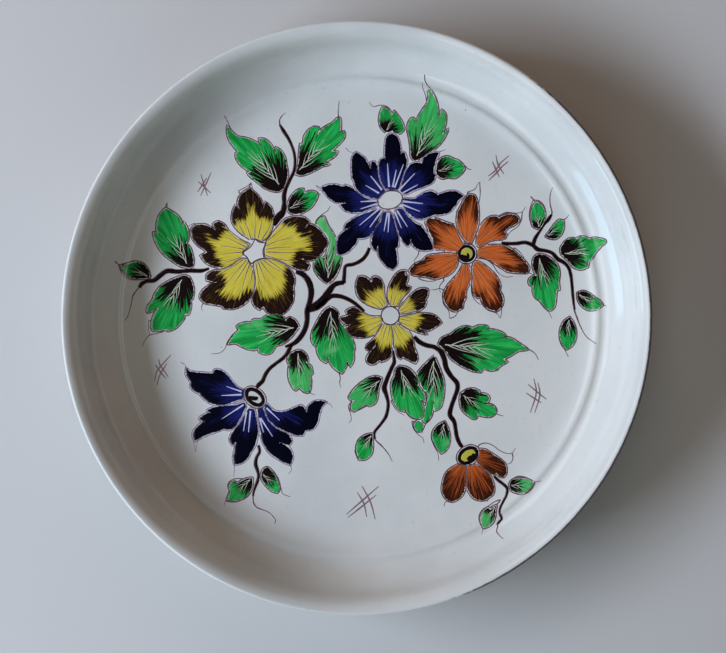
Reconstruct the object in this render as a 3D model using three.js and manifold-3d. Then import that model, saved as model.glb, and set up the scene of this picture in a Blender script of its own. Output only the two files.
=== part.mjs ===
// A shallow glazed earthenware plate, painted by hand with six flowers on branching stems.
// Millimetres, +Z up. The plate stands on z = 0 with its axis on x = y = 0, and +Y is the
// top of the painting. Each coat of glaze, flower, leaf, stem and mark is a piece of its own.
import * as THREE from "three";
import { mergeVertices } from "three/addons/utils/BufferGeometryUtils.js";
import Module from "manifold-3d";

const wasm = await Module();
wasm.setup();

// Driving dimensions of the thrown body and its coats.
const PLATE_RADIUS = 140;
const PLATE_HEIGHT = 38;
const FLOOR_HEIGHT = 10;
const GLAZE = 0.5;
const PAINT = 0.3;
const FOOT_OUTER_RADIUS = 88;
const FOOT_INNER_RADIUS = 81;
const FOOT_CHAMFER = 0.6;
const RECESS_HEIGHT = 5;
const SEGMENTS = 48;

// The painting lies on the flat floor inside this radius; past it the paint climbs the wall.
const FLAT_RADIUS = 107;
// Coats that lie on a curved face start this far above it, so that the two never cut each other.
const COAT_GAP = 0.02;
// Clearance kept beside the edge of a neighbouring stroke or coat.
const STROKE_GAP = 0.3;
// Each span between two outline points is drawn with this many straight edges.
const EDGES_PER_SPAN = 1;
const ELLIPSE_EDGES = 24;

const CLAY_RADIUS = PLATE_RADIUS - GLAZE;
const CLAY_TOP = FLOOR_HEIGHT - GLAZE;
const CLAY_CROWN = PLATE_HEIGHT - GLAZE;
const LIP_HEIGHT = CLAY_CROWN - 3;

// Upper face of the clay as radius, height: flat floor, low ridge, cove, wall, rounded lip.
const CLAY_FACE = [
  [0, CLAY_TOP],
  [FLAT_RADIUS, CLAY_TOP],
  [112, CLAY_TOP + 0.45],
  [116.5, CLAY_TOP + 1.3],
  [119.5, CLAY_TOP + 1.35],
  [123.3, CLAY_TOP + 3.2],
  [128, CLAY_TOP + 7.4],
  [131.3, CLAY_TOP + 14.4],
  [133.6, CLAY_TOP + 22.6],
  [135.5, CLAY_TOP + 26.3],
  [138, CLAY_CROWN],
  [CLAY_RADIUS, LIP_HEIGHT],
];
// Underside of the clay from the lip to the outside of the foot ring.
const CLAY_BACK = [
  [CLAY_RADIUS, LIP_HEIGHT],
  [138.4, 29],
  [134.6, 21],
  [128, 13.4],
  [119, 8.2],
  [109, 6.2],
  [FOOT_OUTER_RADIUS + 1, 5.4],
  [FOOT_OUTER_RADIUS, FOOT_CHAMFER],
];
// Foot ring and the recess inside it, up to the axis.
const WELL_RADIUS = FOOT_INNER_RADIUS - 0.6;
const CLAY_FOOT = [
  [FOOT_OUTER_RADIUS - FOOT_CHAMFER, 0],
  [FOOT_INNER_RADIUS + FOOT_CHAMFER, 0],
  [FOOT_INNER_RADIUS, FOOT_CHAMFER],
  [WELL_RADIUS, RECESS_HEIGHT],
  [0, RECESS_HEIGHT],
];

// Colours of the fired coats and of the brushed enamels.
const CLAY_COLOUR = 0xc9b193;
const GLAZE_COLOUR = 0xc9cdd2;
const YELLOW = 0xcabd3e;
const NAVY = 0x16165a;
const ORANGE = 0xcd5f26;
const BLACK_BROWN = 0x1a0f0f;
const MAUVE = 0x6a5c68;
const GREEN = 0x2f9a48;
const CLAY_ROUGHNESS = 0.9;
const GLAZE_ROUGHNESS = 0.2;
const PAINT_ROUGHNESS = 0.25;

// Every outline below is a list of runs. A run starts at a corner and passes smoothly through
// its points to the first point of the next run; the last run comes back to the first corner.
const YELLOW_BLOOM = [
  [[[-53, 39.5], [-58, 43], [-61.5, 47.5], [-61.5, 51.5]], [[-60, 55.5]], [[-57.7, 53], [-58.7, 56.5], [-57.5, 60.5]],
    [[-53, 64], [-49.5, 61], [-47, 57.5]], [[-46, 54]], [[-45, 57], [-42.5, 54.5], [-41.3, 50], [-42, 45], [-44.5, 40]],
    [[-47, 38.5], [-50, 39.8]]],
  [[[-44, 38.5], [-41, 42], [-38, 45.5], [-35, 48.5], [-30, 49.8], [-26, 49.3]], [[-23.5, 47.5]], [[-25.5, 44.5]],
    [[-23.5, 46.3], [-20.5, 45], [-17, 41.5], [-14.5, 37], [-17, 32.5], [-20.5, 29.3], [-25, 28.8]],
    [[-27.5, 29.8], [-25.5, 28], [-23.5, 26]], [[-24, 24.5], [-26, 24], [-30, 24.8], [-34, 27], [-39, 29.2]],
    [[-44.5, 30.5], [-45, 34]]],
  [[[-45.5, 29], [-40, 28.3], [-35, 25.5], [-31.7, 22], [-30.7, 18.5]],
    [[-31.5, 15], [-31.2, 12], [-31.8, 8], [-34, 4.5], [-37.5, 2], [-40.5, 2.3], [-44, 3.2]], [[-46, 6]],
    [[-48, 4.6], [-50.5, 6.5]], [[-51.8, 10], [-50.2, 14], [-49.6, 19], [-50.3, 25]], [[-50.3, 27.3]]],
  [[[-52.5, 26], [-50.9, 21], [-51, 16], [-52.3, 11], [-55, 8], [-58.5, 5.8], [-62, 5]], [[-66, 5.3]],
    [[-67, 6.5], [-72, 7.3], [-75.5, 8], [-77.8, 10.5], [-76.5, 13.5], [-73, 16.3]], [[-69.5, 18]],
    [[-74.3, 19], [-74.3, 21.3], [-71, 23.2], [-66, 24], [-61.5, 26], [-58, 28.8]], [[-54.5, 29]]],
  [[[-56.5, 31], [-61, 27.5], [-66, 25.5], [-71, 26], [-75, 28]], [[-77.3, 31]],
    [[-74, 32.5], [-76, 34.5], [-79, 36.5], [-81.5, 40], [-82, 44]], [[-80, 46], [-75.5, 46.2], [-72.5, 44.8]],
    [[-70, 43.3]], [[-71, 46.5], [-69, 47.6], [-66, 46.3], [-63.5, 43], [-60, 40], [-56, 37.5]], [[-53.5, 36.5]],
    [[-57, 33]]],
];
const BLUE_BLOOM = [
  [[[14, 63.5], [11.8, 68], [11, 73], [11.5, 76.5], [13, 78]], [[14.3, 77.5]],
    [[14, 80], [14.2, 85], [15, 88.5], [17.5, 89.7], [20, 88], [21.3, 84], [21.6, 80]], [[21.7, 79.5], [22.5, 80.7]],
    [[23.5, 80.3], [24.5, 76.5], [23, 70], [21.5, 66], [20.3, 63]], [[17.5, 62.8]]],
  [[[10.5, 58.5], [6, 59.5], [2, 61.5], [-0.5, 64.5]], [[-0.8, 66.5]], [[-1.8, 68.5], [-2.3, 74], [-1.8, 79]],
    [[-0.3, 81], [3, 79], [5.5, 75.5]], [[6.9, 72.3]], [[7.3, 76], [8.3, 76.5], [10, 74.5], [10.5, 70], [12, 65.5]],
    [[14, 62.5]], [[12.3, 60.8]]],
  [[[10.3, 57.6], [6, 58], [3, 59.5], [0, 62], [-2.5, 63.8]], [[-5.5, 65]], [[-6.5, 64.3], [-11, 65.3], [-14.5, 65]],
    [[-17.2, 63.8], [-15.5, 61.5], [-13, 58.7], [-10, 57], [-7, 56.7]], [[-5, 56.7]],
    [[-7.8, 55.3], [-5.5, 53], [-2, 52], [3, 52.3], [7, 54]], [[9.8, 55.3]]],
  [[[10, 53], [6, 51.7], [2, 50.3], [-2, 48.3], [-5, 46]], [[-6, 44.3]], [[-3.3, 44], [-6, 42.5], [-8.5, 40], [-9.8, 36.5]],
    [[-9.7, 33.5], [-8.8, 31.5], [-5, 32.3], [-2, 35], [0, 37.5]], [[0.3, 39.3], [3, 39.3], [6, 40.3], [8.3, 43]],
    [[10.3, 46.5], [11.3, 50]], [[12.5, 52.3]]],
  [[[13, 51.5], [11.8, 47], [9.5, 43.5], [7.8, 39.5], [7.7, 35.5], [9.3, 33.4]],
    [[10.5, 35.8], [11, 31], [13, 27.5], [15.5, 25]], [[17.7, 24], [19.5, 26], [19.8, 30], [19.2, 34]],
    [[20.4, 35.5], [20.2, 40], [19, 45], [17.5, 50]], [[16, 52]]],
  [[[18.5, 52], [19.3, 46], [21, 41], [23, 37.5], [25.3, 35.4]], [[26.5, 38.5]], [[28, 35.3], [30.5, 33.7], [34.5, 33.2]],
    [[37.2, 33.6], [36.6, 36.5], [35, 39.8], [33, 42.8]], [[31.5, 45], [28, 46.8], [25, 49.6], [22.5, 53]], [[20.7, 53.5]]],
  [[[23, 58.3], [28, 58], [31, 59.5], [34, 61.2], [37, 61.6]], [[39.8, 59.7], [42, 60.6], [45.5, 61.6], [49, 61.2]],
    [[52, 59.2], [50, 57.8], [48, 55], [45.5, 52], [42, 50.7]], [[38, 50.5], [35, 49.4], [32, 48.6], [29, 49], [26, 51]],
    [[22.7, 54.7]], [[22.7, 57]]],
  [[[21.8, 61.8], [22.3, 65], [23, 69], [24.7, 72.5], [27, 75], [30, 75.6]], [[32, 75.3], [33, 78]],
    [[35.5, 79.9], [39.8, 80.2], [38.5, 77], [37.8, 73.5]], [[37.3, 70.3]], [[38.4, 69.5], [37.5, 66.7], [34, 64.7], [29, 62.9]],
    [[24.3, 60.8]], [[23, 60.8]]],
];
const ORANGE_BLOOM = [
  [[[54.8, 36.5], [52, 39.5], [49.8, 43.5], [49.2, 47]], [[49.6, 51.5], [51.5, 55], [53, 58]],
    [[55, 60], [57.4, 59.3], [58.6, 56], [59.2, 50], [58.8, 45], [57.5, 41]], [[55.8, 36.8]]],
  [[[58.7, 36], [59, 39.5], [60.2, 43.5], [62.5, 47], [65.5, 49], [68.3, 49]], [[69.3, 48]],
    [[70.5, 49], [74.5, 50], [77.5, 49.5], [78.7, 47.5], [77, 45.5], [74, 44.2]], [[71.5, 42]],
    [[72.7, 40.3], [71.5, 38.8], [67.5, 38.2], [64.5, 37.5], [62, 36]], [[59.8, 34.5]]],
  [[[59.3, 33], [62, 34.7], [67, 35.3], [71.5, 34.9], [75.5, 33], [79, 30], [82, 27]],
    [[83.6, 24.5], [82.9, 22.3], [79.5, 22.2], [74, 22.8]], [[72.5, 23.3], [69, 25.7], [65.5, 28.3], [62, 29.5]], [[59.3, 29.8]]],
  [[[59, 27.5], [62, 25.7], [65, 23.2], [68, 20], [69.7, 16]], [[69.3, 13.3], [70.8, 10.5], [70.8, 7], [69.5, 4.8]],
    [[68, 3.7], [64.5, 4.8], [61.8, 7.3], [60.5, 10.3]], [[59, 10.2], [57.3, 12], [56.8, 16], [57, 21], [56.8, 25]], [[57.5, 27]]],
  [[[54, 26], [55.4, 22.5], [55.4, 18.5], [53.5, 14.5]], [[53, 13], [53, 10], [51.9, 8]],
    [[51.5, 5.3], [48.5, 3.8], [46, 4.5], [43.5, 7.8], [42.6, 11], [44, 14.8], [47, 18.5], [50, 22]], [[52.2, 26]]],
  [[[48.9, 31], [44, 31.2], [39, 30.9], [35, 30.3]], [[32, 27.5], [29.5, 26.7], [27.3, 25]],
    [[26, 23], [27.5, 21.5], [31, 20.8], [35, 20.3], [38.5, 19.4], [42, 20.3], [45.5, 21.8], [48.3, 25]], [[49.2, 28]]],
  [[[52.3, 35.8], [50.5, 39], [48.8, 42.5], [47.7, 45]], [[46, 45.5], [42, 47], [38, 48.3], [35, 48]],
    [[34, 46.5], [35.8, 42], [37.5, 38.5], [38.2, 34]], [[41.5, 34], [45, 32.8]], [[49.5, 32.8]]],
];
const YELLOW_POSY = [
  [[[11.8, 5.1], [7.3, 6.3], [3.6, 8.2], [1, 11], [0, 14.5], [0.2, 18]], [[1, 20.1], [3, 20.4], [5.5, 19.2], [7.3, 17.5]],
    [[8, 19.7], [9.7, 20.2], [11.9, 18.5], [13, 16], [13.2, 12.5], [13.8, 9.5]], [[14.7, 7]], [[13, 5.9]]],
  [[[17.3, 6.6], [15.9, 9], [15.6, 12.5], [16.3, 16], [17.5, 18.3], [19.2, 21], [21.5, 22.8]], [[23.9, 23.2], [23.5, 21.3]],
    [[25, 20.5], [24.7, 18.5], [24, 16.5]], [[25, 15.3], [26.4, 15]], [[25, 13], [23, 11], [21.3, 8.7]], [[20, 6.3]]],
  [[[21, 4], [22.5, 6.5], [25, 9.3], [27.5, 12.1], [30, 13.8], [32.5, 14.4]], [[34.7, 13.9], [34.6, 11.7], [33.5, 9.3]],
    [[31.3, 7.3]], [[34, 7.9], [33, 6], [30.3, 4]], [[28.5, 4.3], [25.5, 3.2]], [[21.7, 2.7]]],
  [[[21.6, 0.5], [26, 1.2], [30, 2.1], [35, 2.1], [38.5, 1]], [[41.2, -2], [38, -4.2], [35, -5.6], [32.5, -5]],
    [[30.5, -4.7]], [[34, -7.5], [30.5, -6.6], [26, -4.7], [23.3, -3.3]], [[21.2, -1.2]]],
  [[[19.8, -3], [23, -5], [26, -7.4], [27.6, -11], [28, -14.3]], [[29.3, -17.3], [29.6, -19.8]],
    [[28.8, -21.5], [25.5, -20], [22.5, -18.7]], [[21.6, -19.6], [20.2, -17.8], [19.7, -15]],
    [[18.8, -13.5], [18.6, -9.5], [18, -5.5]], [[17.5, -3.8]]],
  [[[13, -3], [11.7, -5.5], [9.5, -9], [7, -11.5]], [[5.3, -12.9], [4.8, -14.6], [6, -15.2], [8, -14.4]], [[9.5, -13]],
    [[7, -16.4], [5.4, -18.8], [5.2, -20.6], [6.5, -22], [9, -21.8], [11.3, -20.1]], [[12.3, -20.8], [15, -19.7], [16.7, -17.5]],
    [[17, -14.5], [17.4, -9.5], [16.8, -5]], [[15.8, -3.5]]],
  [[[11.8, 0.6], [8.5, 0.6], [5.5, 1.3], [2.5, 3], [-0.5, 5], [-3.5, 4.5]], [[-5, 3.4], [-4, 2.3]], [[-2.5, 2]],
    [[-5, 0.9], [-7.8, 0], [-6.5, -1.6], [-4, -3]], [[-2.8, -2.8]],
    [[-5, -5], [-4.5, -6.5], [-2.5, -8.4], [1.5, -9.1], [5, -8.8], [8.3, -7.4], [10.7, -4.8]], [[12, -2]]],
];
const BLUE_BELL = [
  [[[-56, -35.3], [-59, -34], [-61.5, -31.5], [-64, -28.3], [-67, -25.9], [-70.3, -25.4]],
    [[-71.3, -27.3], [-76, -27], [-80, -26.7], [-83, -26.2]], [[-84.7, -24.7], [-84.6, -28], [-82.5, -31.3]],
    [[-82.6, -33.8], [-80.5, -35.8], [-78, -37]], [[-77.3, -38], [-74.5, -40.5], [-71, -42.2], [-66, -42.4], [-60.5, -40.7]],
    [[-56.5, -39.3]]],
  [[[-55.7, -41.3], [-60, -42.8], [-65, -43.2], [-70, -43.8], [-74, -45.6]], [[-72, -46.3]], [[-75.5, -47.5], [-78, -49.5]],
    [[-75.8, -50.8]], [[-78.5, -53], [-80.8, -55.7], [-81.3, -58.3]], [[-80.3, -60.3], [-77, -58.5], [-73, -56.8], [-69, -55.5]],
    [[-66, -54.3], [-63, -54.7], [-60, -52.8], [-58, -49.5]], [[-55, -43.5]]],
  [[[-53.3, -44.3], [-55.5, -47.5], [-57.7, -51.5], [-61, -55.5], [-62.8, -59.5]], [[-61.7, -62.2]],
    [[-59.8, -60.8], [-60.3, -65], [-61, -69]], [[-60.4, -71.9], [-57, -71], [-54.3, -69], [-52.3, -65.3]],
    [[-50.3, -62.3], [-49.7, -60], [-49, -56], [-49.3, -52], [-50, -48]], [[-50.8, -44.8]]],
  [[[-48.9, -44.8], [-48.5, -50], [-47.4, -56], [-46.2, -61], [-43, -65.8], [-38.5, -69], [-34.5, -71]],
    [[-32.8, -71.6], [-31.7, -68.5], [-32.8, -64.5], [-35.5, -62.3]], [[-38.5, -60.5]],
    [[-33.5, -62.2], [-32.2, -60], [-34, -57], [-38, -55]], [[-41.5, -52.8], [-44.5, -49], [-46, -45]], [[-47, -43.8]]],
  [[[-44.3, -42], [-41.5, -45], [-38, -46.1], [-34, -45.4], [-30.5, -43.9], [-27, -43]], [[-24.6, -46]],
    [[-24, -43.3], [-21.5, -41.2], [-18.7, -40.4]], [[-15.2, -41], [-17.2, -43.3], [-18.5, -47], [-19.7, -51.5], [-22, -54.2],
    [-25, -54.6]], [[-26.4, -57.1], [-30, -57.1], [-34, -55.6]], [[-39, -53.5], [-43, -50.5], [-45, -46.5]], [[-45.3, -43.2]]],
];
const ORANGE_BELL = [
  [[[49.5, -71], [46.5, -72.7], [43.8, -75.3], [42.5, -79], [42, -83.5], [43.5, -87], [46.3, -88.6], [49.5, -87.4],
    [52, -84.5], [53, -80.5]], [[53.4, -76], [53, -72]]],
  [[[54.5, -71.8], [54, -76], [53.9, -80.5], [55, -84], [57.5, -87], [60.5, -87.8], [63, -87.4]],
    [[64.5, -86.3], [66.3, -84.7], [66.7, -81.5], [65.7, -77.8], [64.3, -75.5]], [[62, -73], [58, -71.3]]],
  [[[59.8, -63.4], [62.5, -63.7], [66, -65.8], [69.5, -68], [71.5, -69.7]], [[72.6, -71.5], [72.6, -75]],
    [[71.5, -76.5], [69.5, -76.2], [68, -74.3]], [[67, -75.7], [64.5, -74.3], [61.5, -72.2]], [[58.8, -70]], [[60, -67]]],
];
const LEAVES = {
  leaf_north_west: [[[-36.4, 63.7], [-38.5, 62.6], [-42, 63], [-45.5, 64.5], [-48.5, 67], [-52, 69.8]], [[-53.7, 71.5]],
    [[-52, 72.3], [-55, 74], [-58, 76.7], [-59.5, 79.5]], [[-59.6, 81.3]], [[-58, 82], [-60.5, 84.7], [-62.7, 87.8], [-63.7, 91]],
    [[-63.8, 94.3], [-61.8, 91.7], [-59, 89.5], [-54, 88.4], [-50, 86.5]], [[-47, 84.7]],
    [[-48, 88.2], [-45.3, 87.7], [-42.5, 85.2], [-40.5, 81.8]], [[-39.9, 80]],
    [[-39.7, 83.8], [-37.3, 82], [-35.5, 78.7], [-34.9, 75], [-34.2, 71], [-35, 67]]],
  leaf_north: [[[-29.8, 71], [-27.5, 70.4], [-24, 71.2], [-20, 73], [-16.5, 74.8]], [[-13.8, 75.4]],
    [[-16.5, 76.3], [-13, 78.3], [-10.5, 80]], [[-9.5, 81.3], [-12.8, 81.7]], [[-11, 83.5], [-8, 86.2], [-6, 89], [-6.3, 91.2]],
    [[-8.5, 90]], [[-8, 93.5], [-8.5, 97.9]], [[-12, 95.3], [-15.5, 93.5], [-18, 91.2], [-19.7, 88.2]],
    [[-19.3, 91.2], [-18.5, 93.2]], [[-21, 93.7], [-23.7, 92], [-25.6, 89], [-26.1, 85.5]],
    [[-27.5, 85.3], [-28, 81], [-28.4, 77], [-29, 74]]],
  leaf_by_fork: [[[-34, 53.6], [-33.5, 57], [-31.5, 60.5], [-28.5, 63]], [[-26.3, 63.3], [-25.7, 61.3]],
    [[-23.5, 62.2], [-21, 62], [-19.3, 60.7]], [[-19.3, 60.3], [-20.5, 57.5], [-22.7, 54.6], [-25.8, 52.5], [-29.5, 51.5]],
    [[-33, 52]]],
  leaf_bud: [[[14.3, 91], [12.5, 92.8], [11.4, 96], [11.8, 100]], [[12.8, 102.5], [15.5, 101.5], [17.5, 99]],
    [[18.5, 100.7], [21, 97.3], [22.5, 94.5], [23.1, 92.3]], [[21.7, 90.6], [20.2, 90.2], [18.3, 90.9]], [[17.8, 91.7], [16, 91]]],
  leaf_flame: [[[28.5, 76.8], [27, 78.5], [26.7, 83], [26, 87.5], [25.3, 92], [25.8, 95.5], [27.5, 97.3]], [[29.4, 94.8]],
    [[30.3, 97.8], [32.5, 101.2], [34.7, 104.3], [35.5, 108]], [[35.2, 111], [37.3, 108.3], [39, 104.3], [39.7, 100]],
    [[39.9, 96.8]], [[41.7, 100.9], [43.3, 99], [43.4, 95], [42.2, 91], [41.8, 89]],
    [[44.5, 91.5], [42.5, 87.3], [39.5, 83.7], [35.8, 80.9], [31.8, 78.2]]],
  leaf_east_of_blue: [[[39, 71.5], [39.6, 75], [41.5, 77.5], [44.5, 78.3], [47, 77.2]], [[49.5, 76.3], [51.5, 74.5]],
    [[52.5, 72.5], [50.8, 70.2], [48, 68.4], [44.5, 68.7], [42, 68.2], [40.1, 69.3]]],
  leaf_west_upper: [[[-83.5, 25.2], [-87.5, 26.2], [-91.5, 28.5], [-95.5, 31.5], [-99, 36], [-100.7, 40], [-101, 42.5]],
    [[-99.2, 41.7]], [[-99.5, 45], [-98.8, 49.5], [-97, 52.5]], [[-95, 54.4], [-92, 52.7], [-89, 50.5], [-87.3, 47.5]],
    [[-87, 45]], [[-86, 47.2], [-84.5, 44.5], [-83.8, 41], [-84.2, 38.3]], [[-85.3, 37.5], [-83, 35], [-81.7, 31],
    [-81.3, 27.5], [-82, 25.7]]],
  leaf_west_lower: [[[-86, 21.2], [-83.7, 20.5], [-82, 17.5], [-81.2, 14], [-81.7, 10]], [[-82.8, 9], [-82.7, 5.5], [-84, 2]],
    [[-85.5, 2.8]], [[-86, 0], [-88.5, -3], [-91.5, -5.2], [-94.5, -5.8]], [[-95, -5], [-98.5, -5.7], [-101.7, -5.5]],
    [[-102.3, -3], [-101.3, 1], [-99, 5]], [[-98.3, 5.8]], [[-101, 4.3], [-104.5, 3.3]],
    [[-104, 6], [-101.7, 9], [-100.3, 12.5], [-97.5, 16], [-93.5, 18.3], [-89.5, 20]]],
  leaf_west_tip: [[[-103.5, 20.5], [-104, 23.5], [-106.5, 26.5], [-110, 27.8], [-113.5, 26.8]],
    [[-117, 25.5], [-115, 22.7], [-112, 20.5], [-107.5, 20]]],
  leaf_curl: [[[-16, 49.5], [-17.5, 49.2], [-19.5, 47]], [[-17, 43.8], [-14, 40.3], [-13.2, 36], [-14.3, 32.5]],
    [[-15.3, 29.5], [-18, 29.8], [-20.3, 28.2], [-20.8, 25], [-19.5, 22], [-17, 19.2], [-14.5, 17.6]],
    [[-14, 17.6], [-11.5, 19.7], [-9.3, 23.3], [-8, 27], [-7.8, 30.2]], [[-10, 30.8], [-10.3, 35], [-10.4, 38.8], [-12, 42],
    [-14.3, 45.5]]],
  leaf_mid_west: [[[-28.6, -4], [-30.5, -1], [-33.3, 0.4]], [[-35, -1.5]], [[-36.5, 1.2], [-40, 1.8], [-44, 1.3], [-47.5, -0.5],
    [-51, -0.8]], [[-52, -2.3], [-55.5, -2.3], [-59.3, -4]], [[-57.7, -5.7], [-60.5, -8], [-62.2, -10.5]],
    [[-63.3, -12.3], [-60, -12], [-56.5, -13.7], [-53, -15], [-50, -15]], [[-49, -13.8]], [[-48, -16.3], [-45.5, -17.2],
    [-42.5, -16.7], [-40.7, -14.5]], [[-40, -13.2], [-36.5, -12.2], [-32.5, -9]]],
  leaf_mid: [[[-13, 5.5], [-15.5, 4], [-18, 0.8], [-20, -2.8], [-21.7, -7], [-21.8, -11]], [[-20.3, -13.5]],
    [[-19.3, -11.8], [-19.3, -16], [-17.5, -19.7]], [[-15.2, -21.3]], [[-13.9, -18.7], [-12.3, -22.5], [-9.5, -25.2]],
    [[-7.2, -26.5], [-5.2, -23.3], [-4.8, -20]], [[-3, -23.3], [-1.6, -20], [-1.8, -16.8]],
    [[-1.2, -14.5], [-1.8, -11.5], [-4.5, -7], [-7.5, -3], [-9, -0.3]], [[-8.7, 1], [-10, 3.8]]],
  leaf_mid_small: [[[-29, -15.8], [-32, -17.2], [-34, -20]], [[-33, -23], [-33.5, -27], [-32.5, -31.5], [-30, -35]],
    [[-28.4, -33]], [[-26.3, -35.5], [-23.7, -36], [-22.7, -31.5], [-22.9, -28]], [[-21.9, -26.7], [-22.5, -23.8], [-25.3, -21.3]],
    [[-24, -20.8], [-25, -18], [-27, -16.2]]],
  leaf_south: [[[12.2, -29.3], [10, -28.5], [7, -28.9], [4, -30.5], [0.5, -33.2], [-2, -36], [-3.5, -39]], [[-0.8, -40]],
    [[-2.3, -42.3], [-2, -44.8]], [[1, -44], [4.7, -41.9]], [[6.5, -42.5], [8.8, -41.2], [10, -38.5], [10.5, -34.5], [11.7, -31]]],
  leaf_south_tip: [[[7.8, -56.4], [5, -56.9], [2, -58.7], [0.4, -61.5], [0.3, -65]],
    [[1.8, -68.8], [4.5, -68.4], [7, -66], [7.7, -62.5], [7.6, -59]]],
  leaf_south_twin: [[[21.2, -23.3], [19.3, -25], [18.8, -28], [17.4, -31], [17.4, -35], [18.5, -40], [20.8, -43.8]],
    [[23.3, -45]], [[23.8, -43.8], [26, -46.7], [29.5, -48.3], [31.8, -48]], [[32.5, -45], [32, -41.5], [30.5, -38.8]],
    [[33.4, -40.2], [33, -37], [31, -34]], [[29.8, -32.8]], [[30.2, -31.5], [28.9, -28.3], [26.7, -25.5], [24.3, -23.9]]],
  leaf_south_tall: [[[37.8, -18.5], [35.5, -20.7], [32.5, -23.7], [30, -27.3]], [[31.3, -31], [33, -34.3], [34.3, -35]],
    [[35.3, -37], [34.8, -40.5], [33.9, -43.5], [33.3, -47], [32.9, -50.2]], [[34.3, -50], [36.2, -47.5], [37.2, -44],
    [37.6, -40.3]], [[38.5, -44.4], [40.5, -43.2], [41.8, -40], [42.5, -35], [42.3, -30], [40.8, -25.5], [39, -21.3]]],
  leaf_drop: [[[30.4, -50], [28.9, -50.9], [28.5, -52.4], [29.3, -54.1], [30.8, -54.8], [32.1, -53.5], [32.4, -51.6]]],
  leaf_east_big: [[[40.2, -12.5], [41.3, -10.2], [44, -8.6]], [[46, -8], [49, -5.5], [52, -4.2], [54.5, -4.2]],
    [[56.5, -5], [60, -3.7], [64, -4.4]], [[62.5, -5.7], [66, -5.7], [69.5, -6.6], [72, -8.4]], [[70.5, -9.2], [75, -9.8],
    [79, -12.2]], [[82.8, -14.9], [78.5, -15.5], [75, -17.7], [71.3, -19.8]], [[73, -21], [70, -22.6]],
    [[68.3, -24.4], [65.5, -25], [62, -24.2]], [[60.5, -25.8], [57, -25.3], [53, -23.7], [49, -21.3], [45.8, -18.7]],
    [[44.3, -16.2], [42.3, -14.3]]],
  leaf_east_small: [[[51, -36.5], [50.7, -40], [51.5, -43.7], [54, -46.5], [57.8, -48.5]], [[59, -46.2]],
    [[61, -47], [64.5, -47.4], [67, -46.3], [67.8, -44.5], [66, -42.2], [63, -41.7]], [[61.5, -41.3]],
    [[64, -40], [64.3, -38.2], [62.5, -36.8], [60.5, -36.8]], [[59.7, -37.5]], [[59.5, -35.3], [57, -34.2], [54, -34.6],
    [51.8, -36]]],
  leaf_south_east: [[[43, -50.3], [40, -52], [37.8, -54.7], [37.3, -58], [38.8, -61.5]], [[41.5, -65.3], [43.7, -63.7],
    [45.2, -60.5], [45.3, -56.5], [44.3, -53]]],
  leaf_bell_east: [[[74.4, -80.5], [75.2, -78.7], [77.5, -77.7], [81, -77.5], [83.7, -78]],
    [[85.5, -79.2], [84.3, -81.3], [82, -83.3], [78.6, -83.9], [75.2, -82.7]]],
  leaf_bell_south: [[[67.9, -90.5], [66, -91.6], [65, -92.6]], [[64, -91.7], [61.8, -93.7], [60.7, -96.5]],
    [[61.9, -101], [64.3, -100], [66.4, -98], [67.2, -95], [67.5, -92.5]]],
  leaf_east_bud: [[[88.3, 43.2], [86, 44.3], [85, 47.5], [85.2, 52], [86.7, 55.2]], [[87.8, 55.8], [90, 53.7], [91.2, 50],
    [90.6, 46.7], [89.5, 44.5]]],
  leaf_east_bud_small: [[[92, 39.6], [94, 42.3], [96.3, 45.5], [98.3, 47.2]], [[100, 46.7], [100, 43.5], [98.7, 40.3],
    [96.3, 38.6], [93.7, 38.8]]],
  leaf_east_rim: [[[99.3, 31], [99, 33.5], [101, 36.8], [104, 38.4]], [[106, 38], [108.5, 39], [111, 38.5]],
    [[112, 37.7], [115, 38.3], [119.8, 36.7], [117.3, 34.2], [115, 31.5]], [[113.7, 29.3], [112, 27.3]],
    [[111.5, 24.8], [108.5, 23.7], [105.3, 24.7], [102.5, 28]]],
  leaf_east_inner: [[[88.3, 30.8], [86.3, 29.3], [85.7, 26], [86.5, 22.5]], [[87.8, 20.5], [85.5, 20], [83.8, 18.3], [84.3, 16.3]],
    [[86, 16], [85.8, 12.7], [87, 10.2], [89, 8.8]], [[91.5, 5.7], [94, 4.1]], [[95.8, 6], [96.3, 10.5], [96.8, 13.8]],
    [[98, 14], [97.7, 18], [98, 22], [97, 25.5], [94, 28.7], [91, 30.3]]],
  leaf_east_edge: [[[107, 12], [109, 12.8], [112, 12], [114.5, 10], [117, 8.3]], [[118.5, 6.5], [115.5, 4.6], [112, 4.4],
    [109, 6.3], [107.3, 9]]],
  leaf_east_low: [[[103, 0.3], [100.5, -1.7], [99, -5], [98.8, -8.5], [99.7, -12]], [[101.7, -14.6], [104.3, -12.7], [105.9, -9],
    [105.7, -5], [104.5, -1.8]]],
  leaf_bell_twig_west: [[[-51.8, -78.7], [-54, -79], [-57, -80.3], [-59, -81.3]], [[-60.5, -80.7], [-62.5, -81.5], [-63, -83.5],
    [-62.5, -85]], [[-63.3, -87.3], [-63.5, -89.5]], [[-60.5, -89.6], [-57, -88.7], [-54, -86.7], [-52.2, -83.7],
    [-51.8, -80.7]]],
  leaf_bell_twig_east: [[[-46.8, -76], [-46, -74.3], [-44, -73.5], [-42, -75.2], [-40.3, -78], [-39, -81], [-38.4, -84]],
    [[-39.2, -85.4], [-41.8, -84.6], [-44.3, -82.3], [-46.3, -79.7], [-47, -77.7]]],
};
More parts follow.
